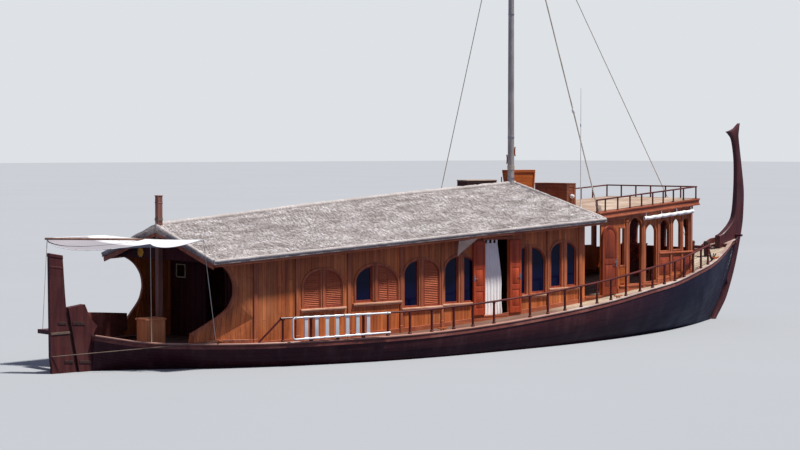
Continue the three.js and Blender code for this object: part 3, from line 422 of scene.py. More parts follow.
# Painted sunlight: the aft box's wood is much paler than the box wood elsewhere, so that it looks sunlit
# where the awning shades it.
AFT_BOX_SUNLIT_WOOD = timber("aft_box_timber_painted_sunlight", (250, 172, 118), (218, 124, 78), "zxy", 0.4)
HATCH_WOOD = timber("hatch_timber", (72, 38, 36), (40, 20, 22), gloss=0.5)
AFT_POST_WOOD = timber("aft_post_timber", (160, 110, 96), (108, 68, 60), "zxy", 0.5)
PALE_DECK = timber("sun_deck_planks", (196, 172, 150), (146, 120, 102), gloss=0.6, worn=(212, 196, 178),
                   varnish=0.0)
DARK_BOX_WOOD = timber("dark_box_timber", (150, 88, 62), (100, 52, 38), "yxz", 0.44)
MAST_WOOD = timber("mast_timber", (190, 184, 180), (140, 132, 130), "zxy", 0.6, worn=(204, 198, 192),
                   varnish=0.0)
SPAR_WOOD = timber("spar_timber", (150, 116, 100), (108, 78, 70), gloss=0.6, varnish=0.0)
BILGE_WOOD = timber("bilge_timber", (90, 54, 56), (56, 32, 38), gloss=0.5)
LEAF = thatch("thatch_leaf", (253, 250, 250), (182, 172, 168), (158, 148, 144))
LEAF_BED = thatch("thatch_bed", (196, 186, 180), (128, 114, 108), (126, 114, 108))
LEAF_ROLL = thatch("thatch_roll", (220, 214, 210), (172, 164, 160), (170, 161, 156))
WHITE_CLOTH = cloth("white_cloth", (253, 253, 252), (240, 240, 240))
# The awning's aft part is painted grey, as painted shade on the cloth.
AWNING_CLOTH = cloth("awning_cloth", (253, 253, 252), (240, 239, 238), aft=((150, 145, 152), -9.82, -9.66))
GREY_CLOTH = cloth("pennant_cloth", (104, 84, 84), (84, 68, 70))
ROPE = cloth("rope_lay", (214, 206, 190), (164, 152, 134), threads=260.0, depth=0.0015)
OLD_ROPE = cloth("old_rope_lay", (128, 108, 92), (88, 70, 60), threads=260.0, depth=0.0015)
HULL_PAINT = hull_paint()
GLASS = window_glass()
ALLOY = metal("aluminium", (244, 244, 245), (214, 215, 218), 0.42, 0.25)
STEEL = metal("steel", (196, 198, 202), (130, 132, 138), 0.26)
IRON = metal("black_iron", (44, 42, 44), (70, 60, 56), 0.5, 0.3)
RUSTED_IRON = metal("rusted_iron", (62, 38, 36), (88, 58, 50), 0.6, 0.25)
BRONZE = metal("bronze", (176, 140, 82), (104, 92, 62), 0.38)
WHITE_PAINT = metal("white_paint", (238, 238, 238), (206, 206, 204), 0.28, 0.0)
YELLOW_PAINT = metal("yellow_paint", (250, 190, 58), (206, 134, 38), 0.4, 0.0)
CREAM_PAINT = metal("cream_paint", (226, 208, 166), (184, 160, 120), 0.45, 0.0)

# The solids, those that a finer piece stands for as well, by their finish
CAD_FINISH = [
    (HULL_PAINT, ["hull"]), (DECK_WOOD, ["deck"]), (STRAKE_WOOD, ["gunwale"]), (BILGE_WOOD, ["keel"]),
    (STEM_WOOD, ["stem_post"]), (STERN_WOOD, ["stern_post", "rudder"]), (BRONZE, ["propeller"]),
    (LEAF_BED, ["roof_thatch"]), (LEVEL, ["sun_deck", "sun_deck_rail", "helm_wheel"]),
    (HOUSE, ["house_wall_stbd", "house_wall_port", "quarter_stbd", "quarter_port", "fore_wall_stbd",
             "fore_wall_port"]),
    (DARK_HOUSE, ["bulkhead_aft", "gable_board"]), (AFT_POST_WOOD, ["aft_post"]),
    (CROSS_HOUSE, ["bulkhead_fore", "front_wall", "helm_console"]),
    (DOOR, ["cabin_door_aft_stbd", "cabin_door_fore_stbd", "cabin_door_aft_port", "cabin_door_fore_port"]),
    (DARK_DOOR, ["passage_door_stbd", "passage_door_port"]), (RAIL_WOOD, ["handrail_stbd", "handrail_port"]),
    (ALLOY, ["boarding_ladder"]), (MAST_WOOD, ["mast"]), (BOX_WOOD, ["mast_case"]),
    (DARK_BOX_WOOD, ["deck_locker", "deck_locker_lid"]), (HATCH_WOOD, ["roof_hatch"]),
    (WHITE_PAINT, ["antenna"]), (ROPE, ["fore_stay", "stay_stbd", "shroud_port"]),
    (AFT_BOX_SUNLIT_WOOD, ["aft_box", "aft_box_lid"]), (SPAR_WOOD, ["awning_spar"]), (AWNING_CLOTH, ["awning"]),
    (WHITE_CLOTH, ["curtain", "rolled_awning"]), (GREY_CLOTH, ["pennant"]), (IRON, ["anchor"]),
]


def dress(node, material):
    """The finish of a node whose shape stays."""
    slots = NODES[node].data.materials
    if slots:
        for place in range(len(slots)):
            slots[place] = material
    else:
        slots.append(material)


for cad_finish, cad_nodes in CAD_FINISH:
    for cad_node in cad_nodes:
        dress(cad_node, cad_finish)

# Shaping timber and cloth


def circle(sides):
    """The angles of points spaced evenly round one turn."""
    return [2 * math.pi * k / sides for k in range(sides)]


def framed(path):
    """The points of a path, each with two directions square to it that don't twist along the way."""
    side = None
    for step, point in enumerate(path):
        ahead = (path[min(step + 1, len(path) - 1)] - path[max(step - 1, 0)]).normalized()
        side = side or ahead.orthogonal()
        side = (side - ahead * side.dot(ahead)).normalized()
        yield point, side, ahead.cross(side)


def ring_round(middle, side, other, radii):
    """A ring of points round a middle, one at each of the radii."""
    turns = zip(circle(len(radii)), radii)
    return [middle + (side * math.cos(turn) + other * math.sin(turn)) * radius for turn, radius in turns]


class Stock:
    """Points and faces of one piece, gathered before they become a mesh."""

    def __init__(self):
        self.points = []
        self.faces = []

    def add(self, points, faces):
        first = len(self.points)
        self.points += [tuple(point) for point in points]
        self.faces += [tuple(first + corner for corner in face) for face in faces]
        return self

    def skin(self, rings, loop=False):
        """A skin over rings of points. The ends are closed, or the last ring joins the first."""
        count = len(rings[0])
        faces = []
        spans = len(rings) if loop else len(rings) - 1
        for ring in range(spans):
            a, b = ring * count, ((ring + 1) % len(rings)) * count
            for side in range(count):
                after = (side + 1) % count
                faces.append((a + side, a + after, b + after, b + side))
        if not loop:
            last = (len(rings) - 1) * count
            faces.append(tuple(range(count))[::-1])
            faces.append(tuple(last + side for side in range(count)))
        return self.add([point for ring in rings for point in ring], faces)

    def bar(self, a, b, wide, deep, up=(0, 0, 1), ease=0.004):
        """A squared timber with eased edges, wide sideways and deep along up."""
        a, b, up = Vector(a), Vector(b), Vector(up)
        along = (b - a).normalized()
        side = along.cross(up).normalized()
        rise = side.cross(along)
        ease = min(ease, wide * 0.4, deep * 0.4)
        w, d = wide / 2, deep / 2
        corners = [(-w, -d + ease), (-w + ease, -d), (w - ease, -d), (w, -d + ease),
                   (w, d - ease), (w - ease, d), (-w + ease, d), (-w, d - ease)]
        inner = 1 - 2 * ease / max(wide, deep)
        rings = []
        for middle, size in ((a, inner), (a + along * ease, 1), (b - along * ease, 1), (b, inner)):
            rings.append([middle + side * (s * size) + rise * (r * size) for s, r in corners])
        return self.skin(rings)

    def tube(self, path, radius, sides=10):
        """A round length that follows the points of a path."""
        squares = framed([Vector(point) for point in path])
        return self.skin([ring_round(*square, [radius] * sides) for square in squares])

    def plate(self, outline, place, low, high, ease=0.004):
        """An outline given a thickness from low to high; place(u, v, w) puts it in the boat."""
        inner, rise = drawn_in(outline, ease), min(ease, (high - low) * 0.45)
        levels = ((inner, low), (outline, low + rise), (outline, high - rise), (inner, high))
        return self.skin([[place(u, v, level) for u, v in line] for line, level in levels])

    def casing(self, outline, width, place, low, high, ease=0.004):
        """A frame of one width round the outside of an opening's outline."""
        outer = drawn_in(outline, -width)
        levels = ((outline, low), (outline, high - ease), (drawn_in(outline, -ease), high),
                  (drawn_in(outer, ease), high), (outer, high - ease), (outer, low))
        return self.skin([[place(u, v, level) for u, v in line] for line, level in levels], loop=True)

    def turning(self, profile, foot, up=(0, 0, 1), sides=16):
        """A turned shape from (height, radius) pairs along up."""
        foot, up = Vector(foot), Vector(up).normalized()
        side = up.orthogonal().normalized()
        other = up.cross(side)
        return self.skin([ring_round(foot + up * height, side, other, [max(radius, 1e-4)] * sides)
                          for height, radius in profile])

    def across(self):
        """Moved to the other side of the boat."""
        self.points = [(x, -y, z) for x, y, z in self.points]
        self.faces = [face[::-1] for face in self.faces]
        return self

    def both(self):
        """The same on the other side of the boat as well."""
        other = Stock().add(self.points, self.faces).across()
        return self.add(other.points, other.faces)


def drawn_in(outline, by):
    """An outline, listed anticlockwise, drawn in by a distance."""
    result = []
    count = len(outline)
    for k in range(count):
        before, here, after = (Vector(outline[(k + step) % count]) for step in (-1, 0, 1))
        a = (here - before).normalized()
        b = (after - here).normalized()
        left_a, left_b = Vector((-a.y, a.x)), Vector((-b.y, b.x))
        middle = left_a + left_b
        if middle.length < 1e-6:
            middle = left_a.copy()
        middle.normalize()
        result.append(tuple(here + middle * (by / max(0.35, middle.dot(left_a)))))
    return result


def piece(name, stock, material, body="boat", sharp=35, stands_for=()):
    """Makes the mesh of a piece, smooth but for its edges, and puts it on its body."""
    mesh = bpy.data.meshes.new(name)
    mesh.from_pydata(stock.points, [], stock.faces)
    shape = bmesh.new()
    shape.from_mesh(mesh)
    bmesh.ops.recalc_face_normals(shape, faces=shape.faces)
    for face in shape.faces:
        face.smooth = True
    shape.to_mesh(mesh)
    shape.free()
    mesh.set_sharp_from_angle(angle=math.radians(sharp))
    mesh.materials.append(material)
    made = into_scene(name, mesh)
    if body:
        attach(made, body)
    if stands_for:
        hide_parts(*stands_for)
    return made


def lerp(a, b, t):
    return a + (b - a) * t


def steps(a, b, count):
    """Evenly spaced numbers from a to b."""
    return [lerp(a, b, k / (count - 1)) for k in range(count)]


def straight(rows, x):
    """A value read off a table of (x, value) rows with straight lines between them."""
    return float(np.interp(x, [row[0] for row in rows], [row[1] for row in rows]))


def smooth(rows, x):
    """The same with a fair curve between the rows."""
    xs = [row[0] for row in rows]
    ys = [row[1] for row in rows]
    x = min(max(x, xs[0]), xs[-1])
    k = min(max(int(np.searchsorted(xs, x)) - 1, 0), len(xs) - 2)

    def slope(at):
        if at == 0:
            return (ys[1] - ys[0]) / (xs[1] - xs[0])
        if at == len(xs) - 1:
            return (ys[-1] - ys[-2]) / (xs[-1] - xs[-2])
        before = (ys[at] - ys[at - 1]) / (xs[at] - xs[at - 1])
        after = (ys[at + 1] - ys[at]) / (xs[at + 1] - xs[at])
        return (before + after) / 2

    span = xs[k + 1] - xs[k]
    t = (x - xs[k]) / span
    a = 2 * t ** 3 - 3 * t ** 2 + 1
    b = t ** 3 - 2 * t ** 2 + t
    c = -2 * t ** 3 + 3 * t ** 2
    d = t ** 3 - t ** 2
    return a * ys[k] + b * span * slope(k) + c * ys[k + 1] + d * span * slope(k + 1)


def fair(points, count):
    """A fair curve through points, with a number of steps between each two."""
    points = [np.array(point, float) for point in points]
    padded = [points[0]] + points + [points[-1]]
    result = []
    for a, b, c, d in zip(padded, padded[1:], padded[2:], padded[3:]):
        for step in range(count):
            t = step / count
            bend = (2 * a - 5 * b + 4 * c - d) * t ** 2 + (3 * b - a - 3 * c + d) * t ** 3
            result.append(tuple(0.5 * (2 * b + (c - a) * t + bend)))
    return result + [tuple(points[-1])]


def taut(a, b, count=9):
    """The points of a tight line from a to b."""
    return [tuple(lerp(p, q, t) for p, q in zip(a, b)) for t in steps(0, 1, count)]


# The form of the hull

HALF_BEAM, WIDEST_X, RUN, ENTRY = 3.3, -1.0, 10.25, 13.9
POST_WIDTH = 0.09
# x along the boat, height of the rail edge, height of the hull's lower edge on the centreline
STATIONS = [
    (-10.95, 0.88, -0.10), (-10.5, 0.79, -0.23), (-10.0, 0.70, -0.36), (-9.0, 0.64, -0.56),
    (-7.5, 0.61, -0.77), (-5.5, 0.63, -0.90), (-3.0, 0.67, -0.98), (-0.5, 0.78, -1.01), (2.0, 0.96, -1.01),
    (4.0, 1.14, -1.01), (6.0, 1.36, -1.00), (7.5, 1.50, -0.98), (9.0, 1.72, -0.90), (10.4, 1.92, -0.68),
    (11.2, 2.091, -0.35), (11.8, 2.22, 0.15), (12.3, 2.347, 0.93), (12.7, 2.449, 1.64), (12.93, 2.508, 2.25),
]
SHEER = [(x, sheer) for x, sheer, keel in STATIONS]
KEEL_LINE = [(x, keel) for x, sheer, keel in STATIONS]
PLANKSHEER, DECK_DROP, DECK_THICK, BULWARK = 0.15, 0.10, 0.05, 0.07
CAP_OUT, CAP_THICK = 0.03, 0.04
INNER_X = (-10.5, 12.3)
POSTS_X, POST_HALF = (-10.88, 12.65), 0.1003
STRAKES = 13
SEAM = 0.005
HULL_SECTIONS = 120
# x and height of the boards that are raised on the cap: over the water aft, over the sheer forward
STERN_BOARDS = [(-10.8, 1.38), (-10.4, 1.34), (-9.6, 1.26), (-8.9, 1.19)]
BOW_BOARDS = [(11.95, 0.03), (12.2, 0.17), (12.64, 0.16)]


def sheer_at(x):
    return smooth(SHEER, x)


def deck_at(x):
    return sheer_at(x) - DECK_DROP


def half_beam(x):
    aft = x < WIDEST_X
    t = min(1.0, abs(x - WIDEST_X) / (RUN if aft else ENTRY))
    return HALF_BEAM * (1 - t ** (2.4 if aft else 2.6))


def side_at(x, z):
    """Half the hull's width at a height."""
    keel = smooth(KEEL_LINE, x)
    beam = max(half_beam(x), POST_WIDTH)
    full = (beam / HALF_BEAM) ** 0.9
    u = min(max((z - keel) / (sheer_at(x) - keel), 0.0), 1.0)
    bulge = (1 - (1 - u) ** (1 + 1.5 * full)) ** (1 / (0.85 + 1.15 * full))
    return POST_WIDTH + (beam - POST_WIDTH) * bulge


def inner_at(x):
    return side_at(x, sheer_at(x) - PLANKSHEER) - BULWARK


def rail_y(x):
    return half_beam(x) - 0.03


def build_hull():
    """The planked shell, each strake a little proud of the seam below it."""
    rings = []
    for x in steps(STATIONS[0][0], STATIONS[-1][0], HULL_SECTIONS):
        keel, top = smooth(KEEL_LINE, x), sheer_at(x) - PLANKSHEER
        side = []
        for strake in range(STRAKES):
            low, high = (lerp(keel, top, (edge / STRAKES) ** 1.25) for edge in (strake, strake + 1))
            seam = min(SEAM, (high - low) * 0.2)
            for z, sunk in ((low, SEAM), (low + seam, 0), ((low + high) / 2, 0), (high - seam, 0)):
                side.append((side_at(x, z) - (sunk if z > keel else 0), z))
        side.append((side_at(x, top), top))
        rings.append([(x, -y, z) for y, z in side[::-1]] + [(x, y, z) for y, z in side])
    shell = Stock().skin(rings)
    piece("hull_planking", shell, HULL_PAINT, sharp=28, stands_for=["hull"])


def build_gunwale():
    """The bulwark and the cap rail of both sides, and the boards raised on them at each end."""
    cap_rings, wall_rings = [], []
    ends = [-10.95, -10.8805, -10.88, -10.5005, -10.5, 12.3, 12.3005, 12.65, 12.6505, 12.93]
    for x in sorted(set(ends + steps(-10.4, 12.2, 110))):
        if x > POSTS_X[1] or x < POSTS_X[0]:
            inner = POST_HALF
        elif INNER_X[0] <= x <= INNER_X[1]:
            inner = inner_at(x)
        else:
            inner = 0.0005
        sheer = sheer_at(x)
        under, foot = sheer - CAP_THICK, sheer - PLANKSHEER
        mid, low = side_at(x, under), side_at(x, foot)
        out = max(half_beam(x), mid) + CAP_OUT
        inner = min(inner, low - 0.01)
        lip = inner - min(0.012, inner)
        cap_line = [(lip, under), (out - 0.008, under), (out, under + 0.008), (out, sheer - 0.012),
                    (out - 0.012, sheer), (lip + 0.008, sheer), (lip, sheer - 0.008)]
        wall_line = [(inner, foot), (low, foot), (low + 0.018, foot + 0.006), (mid + 0.012, sheer - 0.085),
                     (mid - 0.002, sheer - 0.078), (mid, under), (inner, under)]
        cap_rings.append([(x, y, z) for y, z in cap_line])
        wall_rings.append([(x, y, z) for y, z in wall_line])
    cap, wall = Stock().skin(cap_rings).both(), Stock().skin(wall_rings).both()
    piece("cap_rail", cap, CAP_WOOD, sharp=30, stands_for=["gunwale"])
    piece("bulwark", wall, STRAKE_WOOD, sharp=30)
    boards = Stock()
    for rows in (STERN_BOARDS, [(x, sheer_at(x) + above) for x, above in BOW_BOARDS]):
        rings = []
        for x in steps(rows[0][0], rows[-1][0], 14):
            y, low, high = half_beam(x), sheer_at(x) - 0.01, straight(rows, x)
            line = [(0.05, low), (0.01, low), (0.01, high - 0.006), (0.016, high), (0.044, high),
                    (0.05, high - 0.006)]
            rings.append([(x, y - inside, z) for inside, z in line])
        boards.skin(rings)
    piece("raised_boards", boards, STRAKE_WOOD)


def build_deck():
    rings = []
    for x in [INNER_X[0] + 0.0003] + steps(-10.4, 12.2, 90) + [INNER_X[1] - 0.0003]:
        w, top = inner_at(x) - 0.0005, deck_at(x)
        rings.append([(x, -w, top - DECK_THICK), (x, w, top - DECK_THICK), (x, w, top), (x, -w, top)])
    piece("deck_planking", Stock().skin(rings), DECK_WOOD, stands_for=["deck"])


# x and height down the stem's front edge, over its flared head, and down its back edge
STEM = [
    (10.70, -1.09), (11.07, -0.93), (11.42, -0.66), (11.72, -0.33), (11.96, 0.0), (12.23, 0.33),
    (12.48, 0.69), (12.79, 1.40), (13.03, 2.14), (13.21, 2.87), (13.27, 3.30), (13.30, 4.00),
    (13.20, 4.74), (13.06, 5.61), (13.055, 5.80), (13.11, 6.12),
]
STEM_TOP = [(13.11, 6.12), (13.02, 6.06), (12.88, 5.955), (12.72, 5.895), (12.53, 5.85)]
STEM_BACK = [
    (12.53, 5.85), (12.655, 5.76), (12.79, 5.61), (12.90, 5.20), (12.95, 4.74), (12.945, 4.00),
    (12.87, 3.30), (12.70, 2.98), (12.33, 2.69), (12.10, 2.60),
]
STEM_HEEL = [(12.10, 2.20), (12.5, 1.1), (11.7, -0.2), (11.25, -0.5), (10.25, -0.5)]
STEM_HALF = 0.1
STEM_BAR_X, STEM_BAR_Z = 12.9, 2.595
# where across the boat, half length, width, depth and easing of the bar and its two collars
STEM_BAR = [(0.0, 0.34, 0.08, 0.07, 0.012), (-0.13, 0.012, 0.1, 0.09, 0.008), (0.13, 0.012, 0.1, 0.09, 0.008)]


def build_stem():
    """The tall curved stem with its flared head, thinner towards the top, and the bar through its foot."""
    def place(x, z, w):
        slim = 1 - 0.38 * min(max((z - 3.0) / 3.0, 0), 1)
        return (x, w * slim, z)

    outline = fair(STEM, 5) + fair(STEM_TOP, 4)[1:] + fair(STEM_BACK, 5)[1:] + STEM_HEEL
    stock = Stock().plate(outline, place, -STEM_HALF, STEM_HALF, 0.018)
    piece("stem", stock, STEM_WOOD, sharp=40, stands_for=["stem_post"])

    bar = Stock()
    for y, half, wide, deep, ease in STEM_BAR:
        ends = [(STEM_BAR_X, y + reach, STEM_BAR_Z) for reach in (-half, half)]
        bar.bar(*ends, wide, deep, ease=ease)
    piece("stem_bar", bar, STEM_WOOD)


# The roof

EAVE_Y = 2.42
ROOF_AFT, ROOF_PEAK, ROOF_EAVE_X = -9.03, 3.30, 4.50
EAVE_Z = (2.66, 3.36)
EAVE_THICK, RIDGE_THICK = 0.09, 0.17
RIDGE = [(-9.03, 3.44), (-4.53, 3.81), (-1.08, 4.07), (3.30, 4.34)]
THATCH_OUT = Vector((-0.07, 0.37, 0.925))
COURSES = 30
BLADES = 560
# how far a blade starts above or below its course and how far it reaches, as shares of the roof's slope
BLADE_START, BLADE_REACH = (-0.005, 0.007), (0.036, 0.052)
BLADE_LEAN, BLADE_LIFT, BLADE_HALF, BLADE_DEEP = 0.012, (0.010, 0.024), (0.006, 0.013), (0.012, 0.022)
BLADE_FACES = [(0, 1, 2), (3, 5, 4), (0, 3, 4, 1), (1, 4, 5, 2), (2, 5, 3, 0)]
EDGE_Y, RAFTER_PITCH = 2.40, 0.62
ROLL_SIDES = 9


def eave_z(x):
    return straight([(ROOF_AFT, EAVE_Z[0]), (ROOF_EAVE_X, EAVE_Z[1])], x)


def ridge_z(x):
    return straight(RIDGE, x)


def roof_at(x, v, out):
    """A point on the thatch of the port side, v from the eave to the ridge."""
    fore = lerp(ROOF_EAVE_X, ROOF_PEAK, v)
    share = (x - ROOF_AFT) / (fore - ROOF_AFT)
    eave_x, ridge_x = lerp(ROOF_AFT, ROOF_EAVE_X, share), lerp(ROOF_AFT, ROOF_PEAK, share)
    low = Vector((eave_x, EAVE_Y, eave_z(eave_x)))
    high = Vector((ridge_x, 0, ridge_z(ridge_x)))
    return low.lerp(high, v) + THATCH_OUT * out


def build_thatch():
    """Courses of leaf blades from the eave to the ridge, each course over the butts of the one below."""
    for side, sign in (("port", 1), ("stbd", -1)):
        stock = Stock()
        for course in range(COURSES):
            v0 = course / COURSES
            fore = lerp(ROOF_EAVE_X, ROOF_PEAK, v0)
            count = int(BLADES * (fore - ROOF_AFT) / (ROOF_EAVE_X - ROOF_AFT))
            for k in range(count):
                x = lerp(ROOF_AFT + 0.02, fore - 0.03, (k + chance.random()) / count)
                low_v = v0 + chance.uniform(*BLADE_START)
                high_v = min(v0 + chance.uniform(*BLADE_REACH), 1.0)
                lean = chance.gauss(0, BLADE_LEAN)
                a = roof_at(x, max(low_v, -0.004), chance.uniform(*BLADE_LIFT))
                b = roof_at(min(max(x + lean, ROOF_AFT + 0.01), fore - 0.09), high_v, 0.004)
                across = Vector((chance.uniform(*BLADE_HALF), 0, 0))
                sink = Vector((0, 0, -chance.uniform(*BLADE_DEEP)))
                butt = [a - across, a + across, a + sink]
                tip = [b - across * 0.8, b + across * 0.8, b + sink * 0.8]
                stock.add([(p.x, p.y * sign, p.z) for p in butt + tip], BLADE_FACES)
        piece("thatch_blades_" + side, stock, LEAF, sharp=20)


def rough_roll(stock, path, radius):
    """A bound roll of leaf, uneven along its length and drawn in at every sixth step by its binding."""
    path = [Vector(point) for point in path]
    points = []
    for a, b in zip(path, path[1:]):
        count = max(2, int((b - a).length / 0.09))
        points += [a.lerp(b, t / count) for t in range(count)]
    points.append(path[-1])
    rings = []
    for step, square in enumerate(framed(points)):
        bound = radius * (0.86 if step % 6 == 0 else 1.0)
        rings.append(ring_round(*square, [bound * chance.uniform(0.88, 1.1) for k in range(ROLL_SIDES)]))
    return stock.skin(rings)


def build_roof_edges():
    """The pale bound rolls along the ridge, the eaves and the ends, and the timber under them."""
    rolls, boards = Stock(), Stock()
    aft, peak, corner = ROOF_AFT + 0.01, ROOF_PEAK - 0.03, ROOF_EAVE_X - 0.03
    rough_roll(rolls, [(x, 0, z + 0.012) for x, z in RIDGE[:-1]] + [(3.26, 0, 4.352)], 0.062)
    for sign in (-1, 1):
        y = sign * EDGE_Y
        rough_roll(rolls, [(aft, sign * 0.05, 3.42), (aft, y, 2.655)], 0.05)
        rough_roll(rolls, [(peak, sign * 0.05, 4.33), (corner, y, 3.355)], 0.05)
        rough_roll(rolls, [(x, y, eave_z(x) - 0.012) for x in steps(ROOF_AFT + 0.03, corner, 3)], 0.043)
    piece("thatch_rolls", rolls, LEAF_ROLL, sharp=60)
    for sign in (-1, 1):
        ends = [(x, sign * 2.385, eave_z(x) - 0.115) for x in (ROOF_AFT + 0.05, ROOF_EAVE_X - 0.12)]
        boards.bar(*ends, 0.03, 0.075)
        boards.bar((ROOF_AFT + 0.03, sign * 0.09, 3.22), (ROOF_AFT + 0.03, sign * 2.37, 2.51), 0.03, 0.11)
    for x in np.arange(-8.6, 4.3, RAFTER_PITCH):
        top_x = min(x, 3.2)
        for sign in (-1, 1):
            foot = (x, sign * 2.36, eave_z(x) - 0.125)
            boards.bar(foot, (top_x, sign * 0.1, ridge_z(top_x) - 0.215), 0.05, 0.06)
    piece("rafters", boards, LEVEL)


build_hull()
build_gunwale()
build_deck()
build_stem()
build_thatch()
build_roof_edges()

# The deck house

WALL_Y, WALL = 2.05, 0.06
SUN_THICK = 0.195
HOUSE_AFT, HOUSE_FORE, FORE_END = -7.60, 4.66, 8.89
FORE_TAPER = (2.05 - 1.75) / (FORE_END - HOUSE_FORE)
LEAF_FACE = 0.045
CASING, CASING_OUT = 0.055, 0.022
SASH, PANE_IN = 0.038, 0.034
SLAT_PITCH = 0.046
# how far out and how high the four corners of a slat lie
SLAT = [(-0.022, 0.031), (-0.018, 0.037), (0.0, 0.006), (-0.003, -0.001)]
HEAD_RISE = 0.75
# first and last x, sill, head, which top corner is round, louvred or glazed
WINDOWS = [
    (-6.05, -5.51, 1.36, 2.30, "aft", True), (-5.34, -4.80, 1.36, 2.30, "fore", True),
    (-4.36, -3.81, 1.44, 2.34, "aft", False), (-3.61, -2.94, 1.42, 2.34, "fore", True),
    (-2.73, -2.23, 1.22, 2.44, "aft", False), (-2.05, -1.51, 1.22, 2.44, "fore", True),
    (-1.31, -0.83, 1.25, 2.48, "aft", False), (-0.63, -0.15, 1.25, 2.48, "fore", False),
    (1.21, 1.69, 1.35, 2.65, "aft", False), (1.90, 2.42, 1.38, 2.65, "fore", False),
    (2.64, 3.05, 1.49, 2.74, "aft", False), (3.27, 3.63, 1.51, 2.74, "fore", False),
]
# first and last x, sill, head, shape of the head
FORE_OPENINGS = [
    (5.50, 5.68, 2.00, 3.05, "flat"), (5.91, 6.47, 1.45, 3.34, "full"), (6.67, 7.14, 1.48, 3.13, "full"),
    (7.34, 7.75, 2.35, 3.25, "full"), (7.95, 8.30, 2.37, 3.26, "full"), (8.44, 8.69, 2.30, 3.28, "full"),
]
# first and last x of the panels under them
FORE_PANELS = [(7.34, 7.75), (7.95, 8.30), (8.44, 8.72)]
# stretches of wall that an open door lies over
DOOR_LIES = [(-0.335, 0.13), (1.03, 1.495), (4.655, 5.345)]
DOORWAY, PASSAGE = (0.13, 1.03, 0.86, 2.88), (3.99, 4.70, 1.19, 3.18)
# middle and width
UPRIGHTS = [
    (-7.54, 0.11), (-6.24, 0.11), (-4.58, 0.11), (-2.835, 0.09), (-1.41, 0.08), (2.53, 0.09), (3.80, 0.12),
    (5.795, 0.10), (6.57, 0.09), (7.24, 0.09), (7.85, 0.08), (8.37, 0.07), (8.82, 0.10),
]


def wall_y(x):
    """Half the width of the house, to the outside of its wall."""
    return WALL_Y - FORE_TAPER * max(0.0, x - HOUSE_FORE)


def on_wall(x, z, out):
    """A point on the starboard wall, and how far it lies outside the wall's face."""
    return (x, -wall_y(x) - out, z)


def behind_doors(x, z, out):
    """The same, kept flat where an open door lies over it."""
    hidden = any(low < x < high for low, high in DOOR_LIES)
    return on_wall(x, z, min(out, 0.003) if hidden else out)


def inside_wall(x, z, out):
    """The same for the face inside the house."""
    return on_wall(x, z, -WALL - out)


def rectangle(x0, x1, z0, z1):
    return [(x0, z0), (x1, z0), (x1, z1), (x0, z1)]


def arch(x0, x1, z0, z1, kind, count=9):
    """The outline of an opening, anticlockwise from its aft foot."""
    width = x1 - x0
    if kind == "flat":
        return rectangle(x0, x1, z0, z1)
    if kind == "full":
        head = [((x0 + x1 + math.cos(turn) * width) / 2, z1 - width / 2 + math.sin(turn) * width / 2)
                for turn in steps(0, math.pi, 2 * count)]
        return [(x0, z0), (x1, z0)] + head
    rise = HEAD_RISE * width
    quarter = [(math.cos(turn) * width, z1 - rise + math.sin(turn) * rise)
               for turn in steps(0, math.pi / 2, count)]
    if kind == "fore":
        return [(x0, z0), (x1, z0)] + [(x0 + reach, z) for reach, z in quarter]
    return [(x0, z0), (x1, z0)] + [(x1 - reach, z) for reach, z in quarter[::-1]]


def short_steps(outline):
    """An outline with points added so that no side is longer than 7 cm."""
    result = []
    for a, b in zip(outline, outline[1:] + outline[:1]):
        count = max(1, math.ceil(math.dist(a, b) / 0.07))
        result += [(lerp(a[0], b[0], t / count), lerp(a[1], b[1], t / count)) for t in range(count)]
    return result


def sun_top(x):
    return 3.525 + 0.07 * (x - 4.5)


def wall_top(x):
    """The height at which the roof or the sun deck rests on the house wall."""
    under = lerp(eave_z(x) - EAVE_THICK, ridge_z(x) - RIDGE_THICK, 1 - WALL_Y / EAVE_Y)
    deck_under = sun_top(x) - SUN_THICK
    if x > ROOF_EAVE_X:
        return deck_under
    return min(under, deck_under) if x > 3.4 else under


def along_wall(stock, x0, x1, low, high, out, inner=0.0, ease=0.005, place=on_wall, count=14):
    """A moulding along the wall; low and high are heights, or functions of x."""
    rings = []
    for x in steps(x0, x1, count):
        a, b = (edge(x) if callable(edge) else edge for edge in (low, high))
        section = [(inner, a), (out - ease, a), (out, a + ease), (out, b - ease), (out - ease, b), (inner, b)]
        rings.append([place(x, z, w) for w, z in section])
    return stock.skin(rings)


def moved(height_at, by):
    """A height along the boat, such as the deck's, moved up or down."""
    return lambda x: height_at(x) + by


def window_span(window, z):
    """How much of a window's width is open at a height."""
    x0, x1, _, z1, kind, _ = window
    width = x1 - x0
    rise = HEAD_RISE * width
    above = max(0.0, z - (z1 - rise)) / rise
    reach = width * math.sqrt(max(0.0, 1 - above ** 2))
    return (x1 - reach, x1) if kind == "aft" else (x0, x0 + reach)


def sill_span(x0, x1):
    """The ends of a window sill, short of any door that lies open beside it."""
    for low, high in DOOR_LIES:
        if low < x1 < high + 0.2:
            x1 = low - 0.005
        if low - 0.2 < x0 < high:
            x0 = high + 0.005
    return x0, x1


def louvre(slats, window):
    """The slats of one shutter, as wide as its opening at their height."""
    for z in np.arange(window[2] + 0.05, window[3] - 0.06, SLAT_PITCH):
        a, b = window_span(window, z + 0.045)
        a, b = a + SASH - 0.008, b - SASH + 0.008
        if b - a >= 0.08:
            slats.skin([[on_wall(x, z + rise, out) for out, rise in SLAT] for x in (a, b)])


